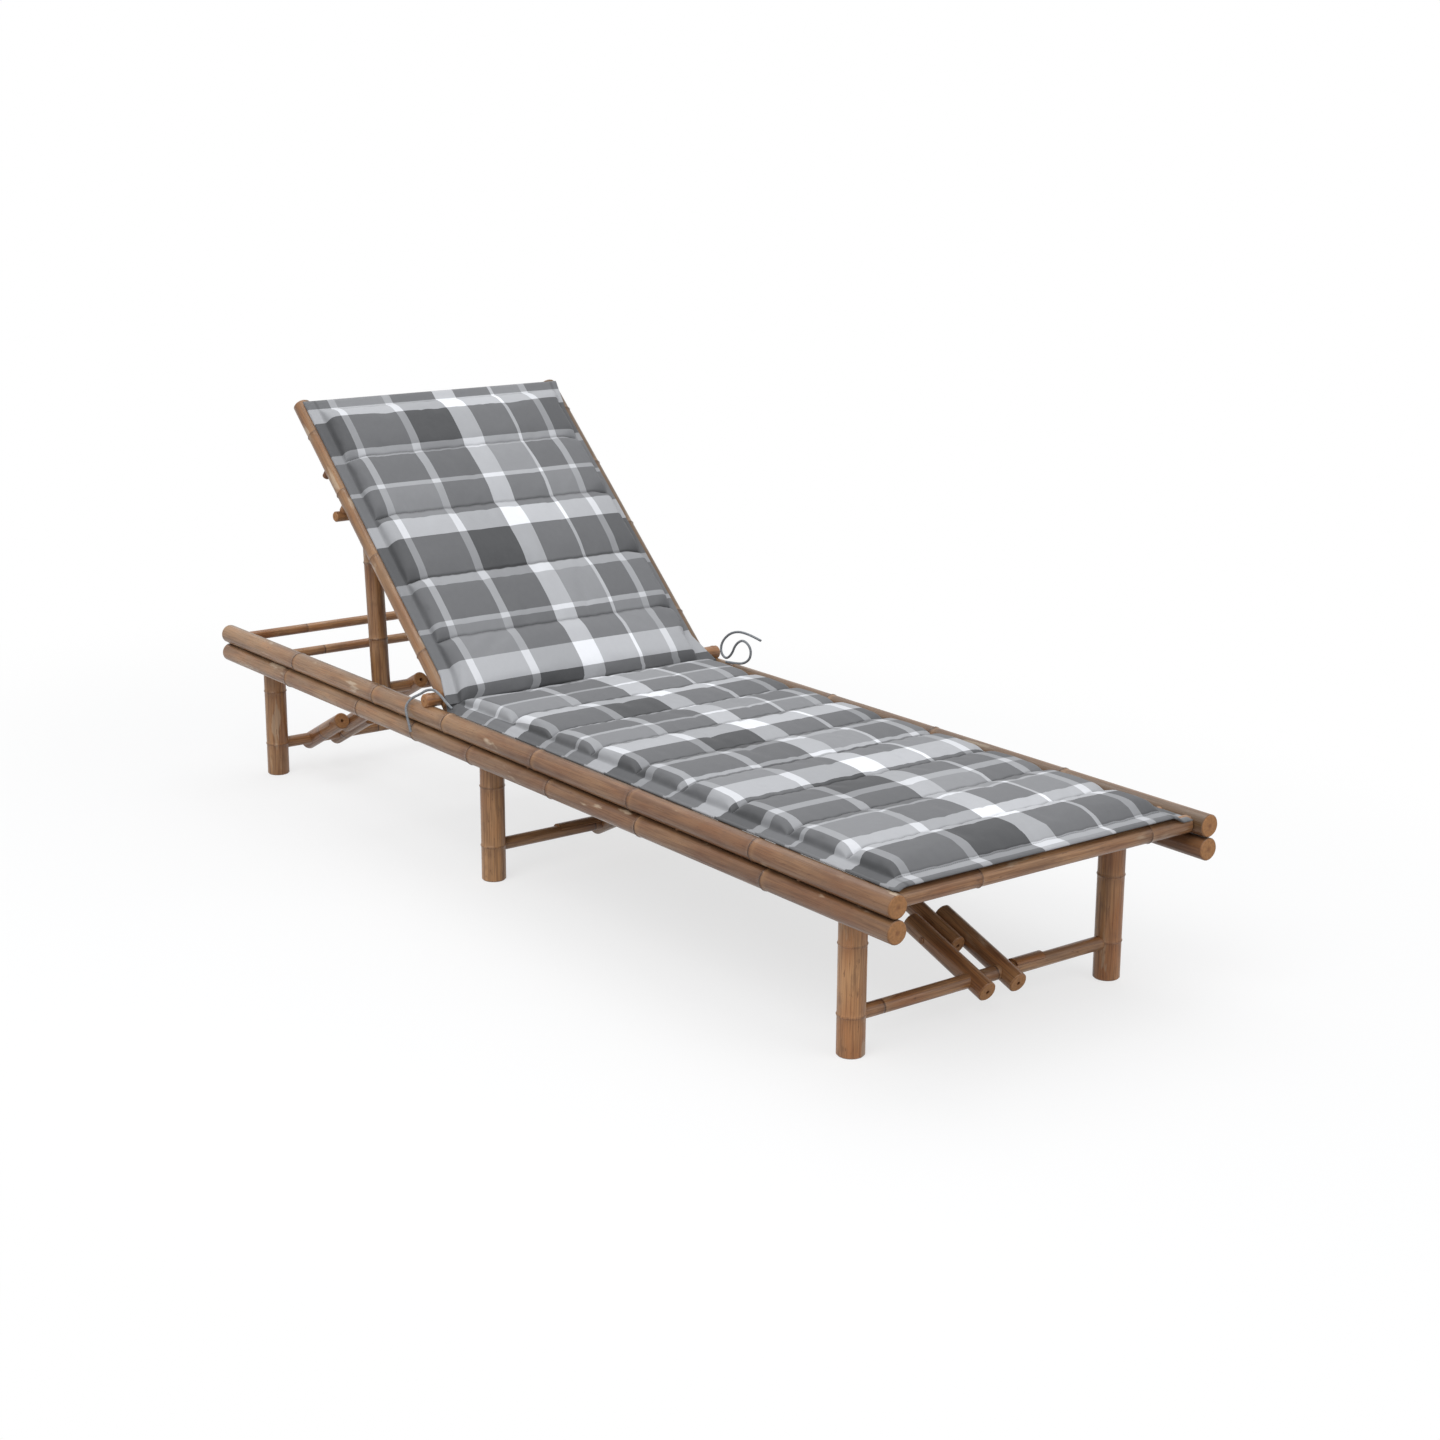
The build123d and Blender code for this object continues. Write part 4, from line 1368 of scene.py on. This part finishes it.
@dataclass(frozen=True)
class Lamp:
    """One soft square lamp: where it hangs, what it points at, its width and its power."""

    name: str
    place: tuple
    target: tuple
    width: float
    power: float

    def build(self) -> None:
        """Hang the lamp."""
        data = bpy.data.lights.new(self.name, "AREA")
        data.shape = "SQUARE"
        data.size = self.width
        data.energy = self.power
        lamp = bpy.data.objects.new(self.name, data)
        lamp.location = self.place
        lamp.rotation_euler = (Vector(self.target) - Vector(self.place)).to_track_quat("-Z", "Y").to_euler()
        bpy.context.collection.objects.link(lamp)


@dataclass
class Studio:
    """Floor, light and camera."""

    camera_place: tuple = (3.274, -2.322, 1.342)
    camera_target: tuple = (-0.272, 0.357, 0.150)
    camera_roll: float = 0.32
    lens: float = 60.2
    sensor: float = 36.0
    view_depth: float = 60.0
    floor_half: float = 14.0
    floor_fade: tuple = (1.1, 2.4)
    floor_narrowing: float = 1.5
    floor_glow: float = 0.70
    floor_matt: float = 0.86
    floor_dim: float = 0.45
    world_light: float = 0.50
    world_tint: tuple = (0.95, 0.97, 1.0, 1.0)
    lamps: tuple = (Lamp("key_light", (1.6, -3.2, 4.2), (0.0, 0.0, 0.2), 3.4, 130.0),
                    Lamp("fill_light", (4.2, 1.4, 2.6), (0.0, 0.0, 0.2), 3.0, 40.0),
                    Lamp("top_light", (-1.2, 0.6, 4.6), (-0.1, 0.0, 0.2), 4.0, 85.0))

    def build(self) -> None:
        """Make the stage."""
        self._floor()
        self._world()
        for lamp in self.lamps:
            lamp.build()
        self._camera()
        bpy.context.scene.view_settings.view_transform = "Standard"
        LOG.info("studio with %d lamps", len(self.lamps))

    def _floor(self) -> None:
        """Lay a pale floor that keeps the shadow near the lounger and fades to white around it."""
        bpy.ops.object.select_all(action="DESELECT")
        bpy.ops.mesh.primitive_plane_add(size=2 * self.floor_half, location=(0.0, 0.0, 0.0))
        floor = bpy.context.object
        floor.name = "studio_floor"
        graph = Graph.for_material("studio_floor")
        x, y, _ = graph.split(graph.object_place())
        across = y * self.floor_narrowing
        share = ((x * x + across * across) ** 0.5).fade(*self.floor_fade, self.floor_glow, 1.0)
        matt = graph.node("ShaderNodeBsdfDiffuse", {}, {"Color": grey(self.floor_matt)})
        glow = graph.node("ShaderNodeEmission", {}, {"Color": grey(1.0), "Strength": 1.0})
        seen = graph.node("ShaderNodeMixShader", {}, {0: share, 1: matt, 2: glow})
        dim = graph.node("ShaderNodeBsdfDiffuse", {}, {"Color": grey(self.floor_dim)})
        both = graph.node("ShaderNodeMixShader", {}, {0: self._seen_rays(graph), 1: dim, 2: seen})
        graph.node("ShaderNodeOutputMaterial", {}, {"Surface": both})
        floor.data.materials.append(graph.owner)

    @staticmethod
    def _seen_rays(graph: Graph) -> Value:
        """Tell the rays that show the background: straight, mirrored or through glass.

        Args:
            graph: Graph of the floor or the world.

        Returns:
            One for these rays, and zero for the rest.
        """
        rays = graph.node("ShaderNodeLightPath", {}, {}, "Is Camera Ray")
        outputs = rays.socket.node.outputs
        mirrored = Value(graph, outputs["Is Glossy Ray"])
        through = Value(graph, outputs["Is Transmission Ray"])
        return rays.most(mirrored).most(through)

    def _world(self) -> None:
        """Show white to the camera, and light everything else softly."""
        world = bpy.data.worlds.new("studio_world")
        bpy.context.scene.world = world
        graph = Graph(world)
        soft = graph.node("ShaderNodeBackground", {},
                          {"Color": self.world_tint, "Strength": self.world_light})
        white = graph.node("ShaderNodeBackground", {}, {"Color": grey(1.0), "Strength": 1.0})
        both = graph.node("ShaderNodeMixShader", {}, {0: self._seen_rays(graph), 1: soft, 2: white})
        graph.node("ShaderNodeOutputWorld", {}, {"Surface": both})

    def _camera(self) -> None:
        """Set the camera at the photographed view."""
        data = bpy.data.cameras.new("view_camera")
        data.lens = self.lens
        data.sensor_width = self.sensor
        data.sensor_fit = "HORIZONTAL"
        data.clip_end = self.view_depth
        camera = bpy.data.objects.new("view_camera", data)
        aim = (Vector(self.camera_target) - Vector(self.camera_place)).to_track_quat("-Z", "Y").to_matrix()
        roll = Matrix.Rotation(math.radians(self.camera_roll), 3, "Z")
        camera.matrix_world = Matrix.Translation(self.camera_place) @ (aim @ roll).to_4x4()
        bpy.context.collection.objects.link(camera)
        bpy.context.scene.camera = camera


def main() -> None:
    """Build the scene piece by piece and log what it makes."""
    logging.basicConfig(level=logging.INFO, format="%(name)s: %(message)s")
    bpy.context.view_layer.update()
    CaneFrame().dress(frame["nodes"])
    pad = Pad().build()
    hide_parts("seat_cushion", "back_cushion")
    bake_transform(pad)
    LOG.info("plaid pad with %d faces", len(pad.data.polygons))
    Ties().build()
    Studio().build()


if __name__ == "__main__":
    main()
